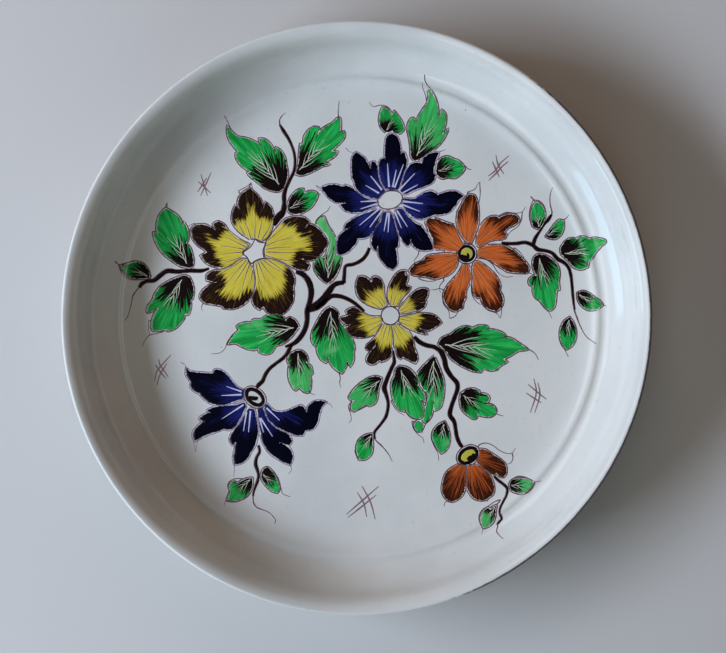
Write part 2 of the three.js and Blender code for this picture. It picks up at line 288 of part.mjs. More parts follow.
// Stems are brush strokes: each point is x, y and the stroke's width there.
const STEMS = {
  stem_main: [
    [[-30, 22.9, 1.6], [-26.5, 21.7, 2.5], [-23.5, 18, 2.7], [-22.3, 13, 2.7], [-23, 8.3, 2.4], [-24.3, 4, 2.4], [-24.4, -1, 2.3],
      [-25.5, -5.5, 2.3], [-28.2, -9.8, 2.2], [-31, -12.3, 1.9], [-35.3, -13.9, 0.9]],
    [[-32.2, -12.8, 1.8], [-33.9, -16.6, 1.8], [-36, -19.2, 1.6], [-40, -22.2, 1.4], [-43.3, -25, 1.6], [-45.3, -28, 1.7],
      [-46.6, -30.9, 1.8], [-48.8, -33, 2]],
    [[-24.6, 4.3, 3], [-20, 6, 4], [-16.3, 9, 4], [-13.5, 13.3, 3], [-10.7, 16.6, 2.2], [-6.2, 17.7, 1.9]],
    [[-6.3, 17.2, 1.8], [-6, 21.3, 1.6], [-5.3, 25.6, 1.4], [-1.5, 26.5, 1.5], [2.5, 28.5, 1.6], [5, 31.3, 1.5], [6.4, 34.5, 1.3]],
    [[-20, 5.2, 2.2], [-16.3, 8, 2.4], [-12.3, 10.9, 2], [-8, 10.8, 1.8], [-3, 8.8, 1.6], [1.2, 5.7, 1.4], [3.8, 3.4, 1.1]],
  ],
  stem_north: [
    [[-40.6, 45.6, 1.6], [-39.3, 49, 3.4], [-36.3, 52.4, 2.8], [-35.7, 56.5, 2], [-35.8, 60.5, 2], [-34.9, 64, 1.6]],
    [[-35.1, 63.5, 1.6], [-33, 68, 1.5], [-31, 72, 1.3], [-30.3, 77, 1.2], [-31, 82, 1.1], [-33.2, 87.5, 1.2], [-36, 92, 1.5],
      [-38, 95.3, 0.6]],
  ],
  stem_west: [
    [[-73.2, 24.7, 0.9], [-77, 23.6, 1.6], [-83, 23.7, 1.9], [-89, 23.2, 1.9], [-94.5, 23.5, 2.2], [-98, 21.3, 2.2],
      [-101.2, 18.9, 2], [-104.8, 18.6, 1.7], [-107.2, 17.3, 1.8], [-108.6, 15.4, 1.4]],
  ],
  stem_south: [
    [[18, -15.5, 0.7], [18.3, -18.5, 1.2], [18.5, -21.3, 1.6], [17.3, -24, 1.7], [16, -27, 1.7], [14.6, -30.5, 1.9],
      [13.6, -33.9, 2.3], [14.6, -37.3, 1.7], [15.5, -41, 1.4], [15.3, -44.5, 1.3], [14.3, -48, 1.4], [11.7, -51.8, 1.1],
      [8.7, -55.9, 1.1], [9.1, -59, 0.8]],
  ],
  stem_east: [
    [[28.2, -8.8, 1.4], [30.5, -11.2, 2], [34, -13, 1.9], [38, -13.9, 1.9], [41.2, -16, 2.4], [42.8, -19.5, 2.3],
      [43.8, -24, 2.2], [46.2, -28, 2], [49, -31.3, 2], [49.3, -34, 1.9], [48, -38, 1.8], [46.4, -42.5, 1.8], [45.6, -46.8, 2],
      [47.6, -50, 1.8], [48.4, -54, 1.6], [49, -57.5, 1.7], [50.6, -61, 1.6]],
  ],
  stem_right: [
    [[74.2, 36.1, 1.3], [78, 36.2, 1.5], [82, 36.6, 1.5], [85.4, 35.3, 1.6], [88, 33.2, 1.8], [92, 32.5, 1.4],
      [95, 31.3, 1.5], [97.3, 28.6, 1.9], [100.2, 27, 1.6], [102.5, 24.6, 1.4], [103.6, 21, 1.3], [104.2, 16.5, 1.2],
      [104.6, 11.5, 1.1], [105, 7.5, 0.9], [105.5, 4, 0.6]],
    [[85.5, 34.8, 1.6], [86.7, 38.6, 1.5], [89, 42.2, 1], [91.2, 45.6, 1], [92.9, 47.6, 1.6], [94.5, 50, 0.8]],
  ],
  stem_orange_bell: [
    [[67, -76.3, 1], [68.6, -78, 1.2], [71.2, -80, 1.2], [73.2, -82, 1.2], [72.9, -85.3, 1], [71.3, -88.5, 0.9], [69.8, -91.8, 0.9],
      [69.6, -94, 0.9], [70.6, -96.6, 0.9], [69.2, -98.4, 0.9], [68.4, -99.6, 0.7]],
  ],
  stem_blue_bell: [
    [[-48.6, -62.3, 1], [-48, -65.5, 1.2], [-49.5, -68.5, 1.3], [-50, -71.8, 1.7], [-49.2, -74.3, 1.5], [-48.5, -77, 1.3],
      [-49, -80, 1.3], [-50.2, -83, 1.1], [-51, -85.5, 0.9], [-51.2, -87.5, 0.7]],
  ],
};

// Each flower's petals are held together by the painted line around its pale heart: centre,
// half axes and tilt of the line's inner edge, and the line's width.
const HEARTS = {
  yellow_bloom: { x: -50.6, y: 32.9, a: 5.6, b: 4.8, tilt: 60, band: 1.2 },
  blue_bloom: { x: 16.4, y: 57.8, a: 6.4, b: 4.6, tilt: 15, band: 1.6 },
  orange_bloom: { x: 53.7, y: 31.4, a: 5.4, b: 5.4, tilt: 0, band: 1.6 },
  yellow_posy: { x: 16.5, y: 1.35, a: 4.6, b: 4.6, tilt: 0, band: 1.4 },
  blue_bell: { x: -50.4, y: -38.7, a: 6.2, b: 4.4, tilt: -40, band: 1.6 },
  orange_bell: { x: 54.4, y: -66.4, a: 5.8, b: 4.4, tilt: 35, band: 1 },
};
const FLOWERS = {
  yellow_bloom: { petals: YELLOW_BLOOM, colour: YELLOW },
  blue_bloom: { petals: BLUE_BLOOM, colour: NAVY },
  orange_bloom: { petals: ORANGE_BLOOM, colour: ORANGE },
  yellow_posy: { petals: YELLOW_POSY, colour: YELLOW },
  blue_bell: { petals: BLUE_BELL, colour: NAVY },
  orange_bell: { petals: ORANGE_BELL, colour: ORANGE },
};
// Dark rings painted in three of the hearts, with the dab of yellow that two of them hold.
const RINGS = {
  orange_bloom_ring: { x: 53.7, y: 31.4, a: 4.1, b: 4.1, tilt: 0, band: -1.1 },
  blue_bell_ring: { x: -50.4, y: -38.7, a: 5.6, b: 3.9, tilt: -40, band: -1.4 },
  orange_bell_ring: { x: 54.4, y: -66.4, a: 5.2, b: 3.8, tilt: 35, band: -1.1 },
};
const CORES = {
  orange_bloom_core: { x: 53.7, y: 31.4, a: 2.7, b: 2.7, tilt: 0 },
  orange_bell_core: { x: 54.4, y: -66.4, a: 3.8, b: 2.4, tilt: 35 },
};
// Cross-hatched marks on the bare glaze: each stroke's points are x, y and width.
const MARKS = {
  mark_north_west: [
    [[-77.3, 71.2, 0.5], [-75.8, 66, 0.9], [-74, 60.6, 0.5]],
    [[-78.7, 67.7, 0.5], [-75.7, 65, 0.9], [-72.5, 62, 0.5]],
    [[-72.3, 72, 0.5], [-74.8, 66.5, 0.9], [-77.5, 60.7, 0.5]],
    [[-74.5, 69.5, 0.5], [-76.6, 66.1, 0.9], [-79, 62.5, 0.5]],
  ],
  mark_north_east: [
    [[64.1, 68.8, 0.6], [67.5, 71.5, 0.9], [70, 75, 0.8], [74, 78.5, 0.5]],
    [[64.3, 66.7, 0.5], [68.2, 70.5, 1], [70.7, 73.3, 0.8], [73.8, 75.8, 0.6]],
    [[67.8, 79, 0.5], [68.2, 76.7, 0.7], [69, 74, 1], [71.7, 69.7, 0.5]],
    [[66.1, 75.8, 0.5], [67.5, 72.7, 1], [69.5, 68.2, 0.5]],
  ],
  mark_west: [
    [[-92.5, -18, 0.5], [-97.5, -23.5, 0.9], [-99.5, -26, 0.8], [-100.8, -31, 0.5]],
    [[-94.5, -22.2, 0.5], [-97, -26, 0.9], [-98.5, -29, 0.8], [-99.5, -33, 0.5]],
    [[-100.3, -23, 0.7], [-98.8, -25, 0.9], [-97, -27.5, 0.9], [-94.8, -29.7, 0.5]],
    [[-98.8, -20, 0.5], [-97.8, -23.5, 0.9], [-96.2, -25.5, 0.9], [-93.8, -29, 0.5]],
  ],
  mark_east: [
    [[83.3, -31.8, 0.5], [87.7, -35.5, 0.9], [92, -39, 0.5]],
    [[82.4, -36, 0.5], [86, -38.4, 0.9], [89.6, -40.7, 0.5]],
    [[86, -29, 0.5], [87.2, -35.5, 0.9], [84.4, -45.5, 0.5]],
    [[88, -31, 0.5], [88.9, -36.5, 0.9], [86.5, -45.5, 0.5]],
  ],
  mark_south: [
    [[10.8, -81.9, 0.5], [3, -88.8, 1], [-5, -95.8, 0.5]],
    [[9.6, -86.2, 0.5], [2.7, -91.8, 1], [-4.2, -97.3, 0.5]],
    [[2.7, -81.9, 0.5], [6.8, -89.5, 1], [9.2, -98, 0.5]],
    [[0.4, -85, 0.5], [3.6, -90.5, 1], [5, -96.9, 0.5]],
  ],
};

// Tall enough to reach through every coat of the dish.
const REACH = { from: FLOOR_HEIGHT - 2, to: PLATE_HEIGHT + 2 };

// The solid enclosed by a three.js geometry, for joining and cutting.
function solidOf(geometry) {
  const bare = geometry.clone();
  bare.deleteAttribute("normal");
  bare.deleteAttribute("uv");
  const merged = mergeVertices(bare, 1e-4);
  return new wasm.Manifold(
    new wasm.Mesh({
      numProp: 3,
      vertProperties: merged.attributes.position.array,
      triVerts: new Uint32Array(merged.index.array),
    }),
  );
}

function geometryOf(solid) {
  const mesh = solid.getMesh();
  const geometry = new THREE.BufferGeometry();
  geometry.setAttribute("position", new THREE.BufferAttribute(mesh.vertProperties, 3));
  geometry.setIndex(new THREE.BufferAttribute(mesh.triVerts, 1));
  geometry.computeVertexNormals();
  return geometry;
}

// A closed profile of radius, height points, turned about the plate's axis.
function turned(profile) {
  const points = profile.map(([radius, height]) => new THREE.Vector2(radius, height));
  const geometry = new THREE.LatheGeometry(points, SEGMENTS);
  geometry.rotateX(Math.PI / 2);
  return geometry;
}

// A profile moved sideways by a distance, to the left of its direction of travel. It moves
// straight up on the axis, and straight out at the lip, where the two glazes meet.
function shifted(profile, distance) {
  return profile.map(([radius, height], i) => {
    if (radius === 0) return [0, height + distance];
    if (radius === CLAY_RADIUS) return [radius + distance, height];
    const [r0, z0] = profile[Math.max(i - 1, 0)];
    const [r1, z1] = profile[Math.min(i + 1, profile.length - 1)];
    const length = Math.hypot(r1 - r0, z1 - z0);
    return [radius + ((z0 - z1) / length) * distance, height + ((r1 - r0) / length) * distance];
  });
}

// The outline through each run's points in turn; a run ends at the next run's corner.
function outlineOf(runs) {
  return runs.flatMap((run, i) => {
    const corner = runs[(i + 1) % runs.length][0];
    const points = [...run, corner].map(([x, y]) => new THREE.Vector2(x, y));
    return new THREE.SplineCurve(points).getPoints(run.length * EDGES_PER_SPAN).slice(0, -1);
  });
}

// A brush stroke's outline: up its left side and back down its right side.
function strokeOutline(stroke) {
  const middle = stroke.map(([x, y]) => new THREE.Vector2(x, y));
  const side = (sign) =>
    middle.map((point, i) => {
      const along = middle[Math.min(i + 1, middle.length - 1)].clone();
      along.sub(middle[Math.max(i - 1, 0)]).normalize();
      const half = (sign * stroke[i][2]) / 2;
      return new THREE.Vector2(point.x - along.y * half, point.y + along.x * half);
    });
  return [...side(-1), ...side(1).reverse()];
}

function ellipseOutline({ x, y, a, b, tilt }, grow = 0) {
  const turn = THREE.MathUtils.degToRad(tilt);
  const curve = new THREE.EllipseCurve(x, y, a + grow, b + grow, 0, 2 * Math.PI, false, turn);
  return curve.getPoints(ELLIPSE_EDGES).slice(0, -1);
}

// An upright prism on an outline, with the outline's own hole if it has one.
function prism(outline, from, to, hole) {
  const shape = new THREE.Shape(outline);
  if (hole) shape.holes.push(new THREE.Path(hole));
  const geometry = new THREE.ExtrudeGeometry(shape, { depth: to - from, bevelEnabled: false });
  geometry.translate(0, 0, from);
  return solidOf(geometry);
}

function joined(solids) {
  return solids.reduce((whole, solid) => whole.add(solid));
}

// A ring between an ellipse and the same ellipse made larger or smaller by its band.
function ringSolid(ring, from, to) {
  const inner = ellipseOutline(ring, Math.min(ring.band, 0));
  const outer = ellipseOutline(ring, Math.max(ring.band, 0));
  return prism(outer, from, to, inner);
}

// A solid widened on all sides of its outline, to cut its neighbours clear of it.
function widened(solid) {
  const copies = [solid];
  for (let step = 0; step < 8; step += 1) {
    const angle = (step * Math.PI) / 4;
    copies.push(solid.translate([STROKE_GAP * Math.cos(angle), STROKE_GAP * Math.sin(angle), 0]));
  }
  return joined(copies);
}

function boxesMeet(one, other) {
  const a = one.boundingBox();
  const b = other.boundingBox();
  const apart = (axis) => Math.max(a.min[axis] - b.max[axis], b.min[axis] - a.max[axis]);
  return apart(0) < STROKE_GAP && apart(1) < STROKE_GAP;
}

// What is left of a stroke after the paint it runs into, without the slivers cut off its ends.
function clearOf(solid, neighbours) {
  const cut = neighbours
    .filter((other) => boxesMeet(solid, other))
    .reduce((left, other) => left.subtract(widened(other)), solid);
  return cut.decompose().sort((a, b) => b.volume() - a.volume())[0];
}

// The farthest that a solid reaches from the plate's axis.
function farthest(solid) {
  const { vertProperties: places } = solid.getMesh();
  let far = 0;
  for (let i = 0; i < places.length; i += 3) far = Math.max(far, Math.hypot(places[i], places[i + 1]));
  return far;
}

// Layers that the upright prisms are cut to: one on the flat floor, one that climbs the wall.
const floorPaint = solidOf(
  turned([
    [0, FLOOR_HEIGHT],
    [FLAT_RADIUS, FLOOR_HEIGHT],
    [FLAT_RADIUS, FLOOR_HEIGHT + PAINT],
    [0, FLOOR_HEIGHT + PAINT],
  ]),
);
const paintedProfile = CLAY_FACE.slice(0, 9);
const wallPaint = solidOf(
  turned([
    ...shifted(paintedProfile, GLAZE + COAT_GAP),
    ...shifted(paintedProfile, GLAZE + COAT_GAP + PAINT).reverse(),
  ]),
);

// Paint as it lies on the plate: the part of an upright solid that is within its layer.
function laid(solid) {
  return solid.intersect(farthest(solid) > FLAT_RADIUS ? wallPaint : floorPaint);
}

function piece(name, geometry, colour, roughness) {
  const material = new THREE.MeshStandardMaterial({ color: colour, roughness, metalness: 0 });
  const mesh = new THREE.Mesh(geometry, material);
  mesh.name = name;
  return mesh;
}

function painted(name, solid, colour) {
  return piece(name, geometryOf(laid(solid)), colour, PAINT_ROUGHNESS);
}

// A coat of glaze over a stretch of the clay's profile.
function coat(profile) {
  const inner = shifted(profile, COAT_GAP);
  const closing = inner[0][0] === 0 ? [] : [inner[0]];
  return turned([...inner, ...shifted(profile, GLAZE).reverse(), ...closing]);
}

function body() {
  const group = new THREE.Group();
  const back = [...CLAY_BACK, ...CLAY_FOOT];
  const clay = turned([...back.slice().reverse(), ...CLAY_FACE.slice().reverse().slice(1)]);
  const faceGlaze = coat(CLAY_FACE);
  const backGlaze = coat(CLAY_BACK);
  const wellEdge = WELL_RADIUS - STROKE_GAP;
  const wellGlaze = turned([
    [0, RECESS_HEIGHT - GLAZE],
    [wellEdge, RECESS_HEIGHT - GLAZE],
    [wellEdge, RECESS_HEIGHT],
    [0, RECESS_HEIGHT],
  ]);
  group.add(piece("clay_body", clay, CLAY_COLOUR, CLAY_ROUGHNESS));
  group.add(piece("face_glaze", faceGlaze, GLAZE_COLOUR, GLAZE_ROUGHNESS));
  group.add(piece("back_glaze", backGlaze, GLAZE_COLOUR, GLAZE_ROUGHNESS));
  group.add(piece("well_glaze", wellGlaze, GLAZE_COLOUR, GLAZE_ROUGHNESS));
  return group;
}

const flowerSolids = Object.fromEntries(
  Object.entries(FLOWERS).map(([name, { petals }]) => {
    const parts = petals.map((runs) => prism(outlineOf(runs), REACH.from, REACH.to));
    return [name, joined([...parts, ringSolid(HEARTS[name], REACH.from, REACH.to)])];
  }),
);
const leafSolids = Object.fromEntries(
  Object.entries(LEAVES).map(([name, runs]) => [name, prism(outlineOf(runs), REACH.from, REACH.to)]),
);
const ringSolids = Object.fromEntries(
  Object.entries(RINGS).map(([name, ring]) => {
    const whole = ringSolid(ring, REACH.from, REACH.to);
    return [name, clearOf(whole, Object.values(flowerSolids))];
  }),
);

function flowers() {
  const group = new THREE.Group();
  for (const [name, solid] of Object.entries(flowerSolids)) {
    group.add(painted(name, solid, FLOWERS[name].colour));
  }
  for (const [name, solid] of Object.entries(ringSolids)) {
    group.add(painted(name, solid, BLACK_BROWN));
  }
  for (const [name, core] of Object.entries(CORES)) {
    group.add(painted(name, prism(ellipseOutline(core), REACH.from, REACH.to), YELLOW));
  }
  return group;
}

function leaves() {
  const group = new THREE.Group();
  for (const [name, solid] of Object.entries(leafSolids)) {
    group.add(painted(name, solid, GREEN));
  }
  return group;
}

function strokes(table, colour, neighbours) {
  const group = new THREE.Group();
  for (const [name, paths] of Object.entries(table)) {
    const whole = joined(paths.map((path) => prism(strokeOutline(path), REACH.from, REACH.to)));
    group.add(painted(name, clearOf(whole, neighbours), colour));
  }
  return group;
}

const plate = new THREE.Group();
plate.add(body());
plate.add(flowers());
plate.add(leaves());
const fills = [...Object.values(flowerSolids), ...Object.values(leafSolids), ...Object.values(ringSolids)];
plate.add(strokes(STEMS, BLACK_BROWN, fills));
plate.add(strokes(MARKS, MAUVE, []));

export default plate;
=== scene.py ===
"""A shallow glazed plate, painted by hand with flowers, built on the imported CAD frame.

The painting is laid out in millimetres on the plate's own plan: x to the right, y to the top,
the axis at 0, 0. Every outline is draped over the glaze, and the meshes are scaled to metres.
"""

import bisect
import math
import random

import bpy
from mathutils import Matrix, Vector, noise
from mathutils.geometry import delaunay_2d_cdt
from mathutils.kdtree import KDTree


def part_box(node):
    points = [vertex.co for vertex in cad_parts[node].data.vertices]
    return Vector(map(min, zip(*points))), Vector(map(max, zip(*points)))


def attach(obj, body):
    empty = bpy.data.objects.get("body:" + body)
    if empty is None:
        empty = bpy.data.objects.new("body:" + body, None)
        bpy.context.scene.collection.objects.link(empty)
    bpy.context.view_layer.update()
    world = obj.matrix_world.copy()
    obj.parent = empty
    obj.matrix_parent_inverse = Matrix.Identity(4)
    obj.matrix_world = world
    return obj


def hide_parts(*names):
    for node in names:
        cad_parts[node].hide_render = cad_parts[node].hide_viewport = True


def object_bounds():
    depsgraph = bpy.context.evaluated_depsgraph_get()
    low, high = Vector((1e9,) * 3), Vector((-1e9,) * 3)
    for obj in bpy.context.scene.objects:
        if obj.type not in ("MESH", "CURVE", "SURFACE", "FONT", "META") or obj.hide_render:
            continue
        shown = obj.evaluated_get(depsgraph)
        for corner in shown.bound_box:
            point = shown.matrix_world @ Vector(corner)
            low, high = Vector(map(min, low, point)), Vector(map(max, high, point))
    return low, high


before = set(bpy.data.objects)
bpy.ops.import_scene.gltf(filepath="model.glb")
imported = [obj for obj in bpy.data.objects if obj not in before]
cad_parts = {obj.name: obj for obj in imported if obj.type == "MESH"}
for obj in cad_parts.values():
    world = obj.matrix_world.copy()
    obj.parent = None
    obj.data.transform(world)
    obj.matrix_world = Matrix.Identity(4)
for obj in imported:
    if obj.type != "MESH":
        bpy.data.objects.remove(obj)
cad_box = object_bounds()

MM = 0.001
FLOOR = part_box("blue_bloom")[0].z / MM
RIM = cad_box[1].z / MM
FOOT_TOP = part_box("well_glaze")[1].z / MM
GLAZE = 0.5

# The finished glaze as radius, height above the painted floor: flat floor, ridge, cove, wall.
FACE = [
    [0, 0], [40, 0], [80, 0], [104, 0], [109, 0.12], [112.4, 0.5], [114.8, 1.2], [116.2, 1.62],
    [117.1, 1.6], [118.1, 1.24], [119, 1.18], [120.4, 1.5], [122.2, 2.3], [124, 3.4], [126, 4.8],
    [128, 6.3], [129.7, 8], [130.9, 10.4], [131.6, 13.6], [132.1, 17], [132.6, 20.4],
]
LIP = [
    [133.3, 23.2], [134.3, 25], [135.7, 26.3], [137.2, 27.2], [138.3, 27.65], [138.95, 27.75],
    [139.5, 27.3], [139.85, 26.3], [139.95, 24.5],
]
# From the lip down the outside to the foot ring, and the foot ring up into the recess.
BACK = [
    [139.8, 22.6], [138.8, 18.6], [136.9, 14], [134.4, 9.8], [131.5, 6.2], [127.6, 2.7], [123, -0.2],
    [118.6, -2.2], [114, -3.6], [108, -4.4], [98, -4.9], [89.4, -5.2], [88.6, -6.4], [88.5, -9],
]
FOOT = [[88, -9.5], [87.4, -10], [81.6, -10], [81, -9.4], [80.4, -5]]

# How thick the paint lies at its edge and how much more elsewhere, how wide its rounded edge is,
# how far a hand-brushed edge wanders, and how deep each piece of paint reaches into the glaze.
EDGE_PAINT = 0.015
PAINT = 0.09
EDGE_ROUND = 0.28
RUFFLE = 0.32
BURIED = 0.06
ON_PAINT = PAINT + 0.02
# Spacing of the points along outlines, drawn lines and fine strokes, and across a fill.
OUTLINE_STEP = 0.4
LINE_STEP = 0.7
FILL_PITCH = 1.1

# Every outline below is a list of runs. A run starts at a corner and passes smoothly through
# its points to the first point of the next run; the last run comes back to the first corner.
YELLOW_BLOOM = [
    [[[-53, 39.5], [-58, 43], [-61.5, 47.5], [-61.5, 51.5]], [[-60, 55.5]], [[-57.7, 53], [-58.7, 56.5],
     [-57.5, 60.5]], [[-53, 64], [-49.5, 61], [-47, 57.5]], [[-46, 54]], [[-45, 57], [-42.5, 54.5],
     [-41.3, 50], [-42, 45], [-44.5, 40]], [[-47, 38.5], [-50, 39.8]]],
    [[[-44, 38.5], [-41, 42], [-38, 45.5], [-35, 48.5], [-30, 49.8], [-26, 49.3]], [[-23.5, 47.5]],
     [[-25.5, 44.5]], [[-23.5, 46.3], [-20.5, 45], [-17, 41.5], [-14.5, 37], [-17, 32.5], [-20.5, 29.3],
     [-25, 28.8]], [[-27.5, 29.8], [-25.5, 28], [-23.5, 26]], [[-24, 24.5], [-26, 24], [-30, 24.8],
     [-34, 27], [-39, 29.2]], [[-44.5, 30.5], [-45, 34]]],
    [[[-45.5, 29], [-40, 28.3], [-35, 25.5], [-31.7, 22], [-30.7, 18.5]], [[-31.5, 15], [-31.2, 12],
     [-31.8, 8], [-34, 4.5], [-37.5, 2], [-40.5, 2.3], [-44, 3.2]], [[-46, 6]], [[-48, 4.6],
     [-50.5, 6.5]], [[-51.8, 10], [-50.2, 14], [-49.6, 19], [-50.3, 25]], [[-50.3, 27.3]]],
    [[[-52.5, 26], [-50.9, 21], [-51, 16], [-52.3, 11], [-55, 8], [-58.5, 5.8], [-62, 5]], [[-66, 5.3]],
     [[-67, 6.5], [-72, 7.3], [-75.5, 8], [-77.8, 10.5], [-76.5, 13.5], [-73, 16.3]], [[-69.5, 18]],
     [[-74.3, 19], [-74.3, 21.3], [-71, 23.2], [-66, 24], [-61.5, 26], [-58, 28.8]], [[-54.5, 29]]],
    [[[-56.5, 31], [-61, 27.5], [-66, 25.5], [-71, 26], [-75, 28]], [[-77.3, 31]], [[-74, 32.5],
     [-76, 34.5], [-79, 36.5], [-81.5, 40], [-82, 44]], [[-80, 46], [-75.5, 46.2], [-72.5, 44.8]],
     [[-70, 43.3]], [[-71, 46.5], [-69, 47.6], [-66, 46.3], [-63.5, 43], [-60, 40], [-56, 37.5]],
     [[-53.5, 36.5]], [[-57, 33]]],
]
BLUE_BLOOM = [
    [[[14, 63.5], [11.8, 68], [11, 73], [11.5, 76.5], [13, 78]], [[14.3, 77.5]], [[14, 80], [14.2, 85],
     [15, 88.5], [17.5, 89.7], [20, 88], [21.3, 84], [21.6, 80]], [[21.7, 79.5], [22.5, 80.7]],
     [[23.5, 80.3], [24.5, 76.5], [23, 70], [21.5, 66], [20.3, 63]], [[17.5, 62.8]]],
    [[[10.5, 58.5], [6, 59.5], [2, 61.5], [-0.5, 64.5]], [[-0.8, 66.5]], [[-1.8, 68.5], [-2.3, 74],
     [-1.8, 79]], [[-0.3, 81], [3, 79], [5.5, 75.5]], [[6.9, 72.3]], [[7.3, 76], [8.3, 76.5],
     [10, 74.5], [10.5, 70], [12, 65.5]], [[14, 62.5]], [[12.3, 60.8]]],
    [[[10.3, 57.6], [6, 58], [3, 59.5], [0, 62], [-2.5, 63.8]], [[-5.5, 65]], [[-6.5, 64.3],
     [-11, 65.3], [-14.5, 65]], [[-17.2, 63.8], [-15.5, 61.5], [-13, 58.7], [-10, 57], [-7, 56.7]],
     [[-5, 56.7]], [[-7.8, 55.3], [-5.5, 53], [-2, 52], [3, 52.3], [7, 54]], [[9.8, 55.3]]],
    [[[10, 53], [6, 51.7], [2, 50.3], [-2, 48.3], [-5, 46]], [[-6, 44.3]], [[-3.3, 44], [-6, 42.5],
     [-8.5, 40], [-9.8, 36.5]], [[-9.7, 33.5], [-8.8, 31.5], [-5, 32.3], [-2, 35], [0, 37.5]],
     [[0.3, 39.3], [3, 39.3], [6, 40.3], [8.3, 43]], [[10.3, 46.5], [11.3, 50]], [[12.5, 52.3]]],
    [[[13, 51.5], [11.8, 47], [9.5, 43.5], [7.8, 39.5], [7.7, 35.5], [9.3, 33.4]], [[10.5, 35.8],
     [11, 31], [13, 27.5], [15.5, 25]], [[17.7, 24], [19.5, 26], [19.8, 30], [19.2, 34]], [[20.4, 35.5],
     [20.2, 40], [19, 45], [17.5, 50]], [[16, 52]]],
    [[[18.5, 52], [19.3, 46], [21, 41], [23, 37.5], [25.3, 35.4]], [[26.5, 38.5]], [[28, 35.3],
     [30.5, 33.7], [34.5, 33.2]], [[37.2, 33.6], [36.6, 36.5], [35, 39.8], [33, 42.8]], [[31.5, 45],
     [28, 46.8], [25, 49.6], [22.5, 53]], [[20.7, 53.5]]],
    [[[23, 58.3], [28, 58], [31, 59.5], [34, 61.2], [37, 61.6]], [[39.8, 59.7], [42, 60.6],
     [45.5, 61.6], [49, 61.2]], [[52, 59.2], [50, 57.8], [48, 55], [45.5, 52], [42, 50.7]], [[38, 50.5],
     [35, 49.4], [32, 48.6], [29, 49], [26, 51]], [[22.7, 54.7]], [[22.7, 57]]],
    [[[21.8, 61.8], [22.3, 65], [23, 69], [24.7, 72.5], [27, 75], [30, 75.6]], [[32, 75.3], [33, 78]],
     [[35.5, 79.9], [39.8, 80.2], [38.5, 77], [37.8, 73.5]], [[37.3, 70.3]], [[38.4, 69.5],
     [37.5, 66.7], [34, 64.7], [29, 62.9]], [[24.3, 60.8]], [[23, 60.8]]],
]
ORANGE_BLOOM = [
    [[[54.8, 36.5], [52, 39.5], [49.8, 43.5], [49.2, 47]], [[49.6, 51.5], [51.5, 55], [53, 58]],
     [[55, 60], [57.4, 59.3], [58.6, 56], [59.2, 50], [58.8, 45], [57.5, 41]], [[55.8, 36.8]]],
    [[[58.7, 36], [59, 39.5], [60.2, 43.5], [62.5, 47], [65.5, 49], [68.3, 49]], [[69.3, 48]],
     [[70.5, 49], [74.5, 50], [77.5, 49.5], [78.7, 47.5], [77, 45.5], [74, 44.2]], [[71.5, 42]],
     [[72.7, 40.3], [71.5, 38.8], [67.5, 38.2], [64.5, 37.5], [62, 36]], [[59.8, 34.5]]],
    [[[59.3, 33], [62, 34.7], [67, 35.3], [71.5, 34.9], [75.5, 33], [79, 30], [82, 27]], [[83.6, 24.5],
     [82.9, 22.3], [79.5, 22.2], [74, 22.8]], [[72.5, 23.3], [69, 25.7], [65.5, 28.3], [62, 29.5]],
     [[59.3, 29.8]]],
    [[[59, 27.5], [62, 25.7], [65, 23.2], [68, 20], [69.7, 16]], [[69.3, 13.3], [70.8, 10.5], [70.8, 7],
     [69.5, 4.8]], [[68, 3.7], [64.5, 4.8], [61.8, 7.3], [60.5, 10.3]], [[59, 10.2], [57.3, 12],
     [56.8, 16], [57, 21], [56.8, 25]], [[57.5, 27]]],
    [[[54, 26], [55.4, 22.5], [55.4, 18.5], [53.5, 14.5]], [[53, 13], [53, 10], [51.9, 8]],
     [[51.5, 5.3], [48.5, 3.8], [46, 4.5], [43.5, 7.8], [42.6, 11], [44, 14.8], [47, 18.5], [50, 22]],
     [[52.2, 26]]],
    [[[48.9, 31], [44, 31.2], [39, 30.9], [35, 30.3]], [[32, 27.5], [29.5, 26.7], [27.3, 25]],
     [[26, 23], [27.5, 21.5], [31, 20.8], [35, 20.3], [38.5, 19.4], [42, 20.3], [45.5, 21.8],
     [48.3, 25]], [[49.2, 28]]],
    [[[52.3, 35.8], [50.5, 39], [48.8, 42.5], [47.7, 45]], [[46, 45.5], [42, 47], [38, 48.3], [35, 48]],
     [[34, 46.5], [35.8, 42], [37.5, 38.5], [38.2, 34]], [[41.5, 34], [45, 32.8]], [[49.5, 32.8]]],
]
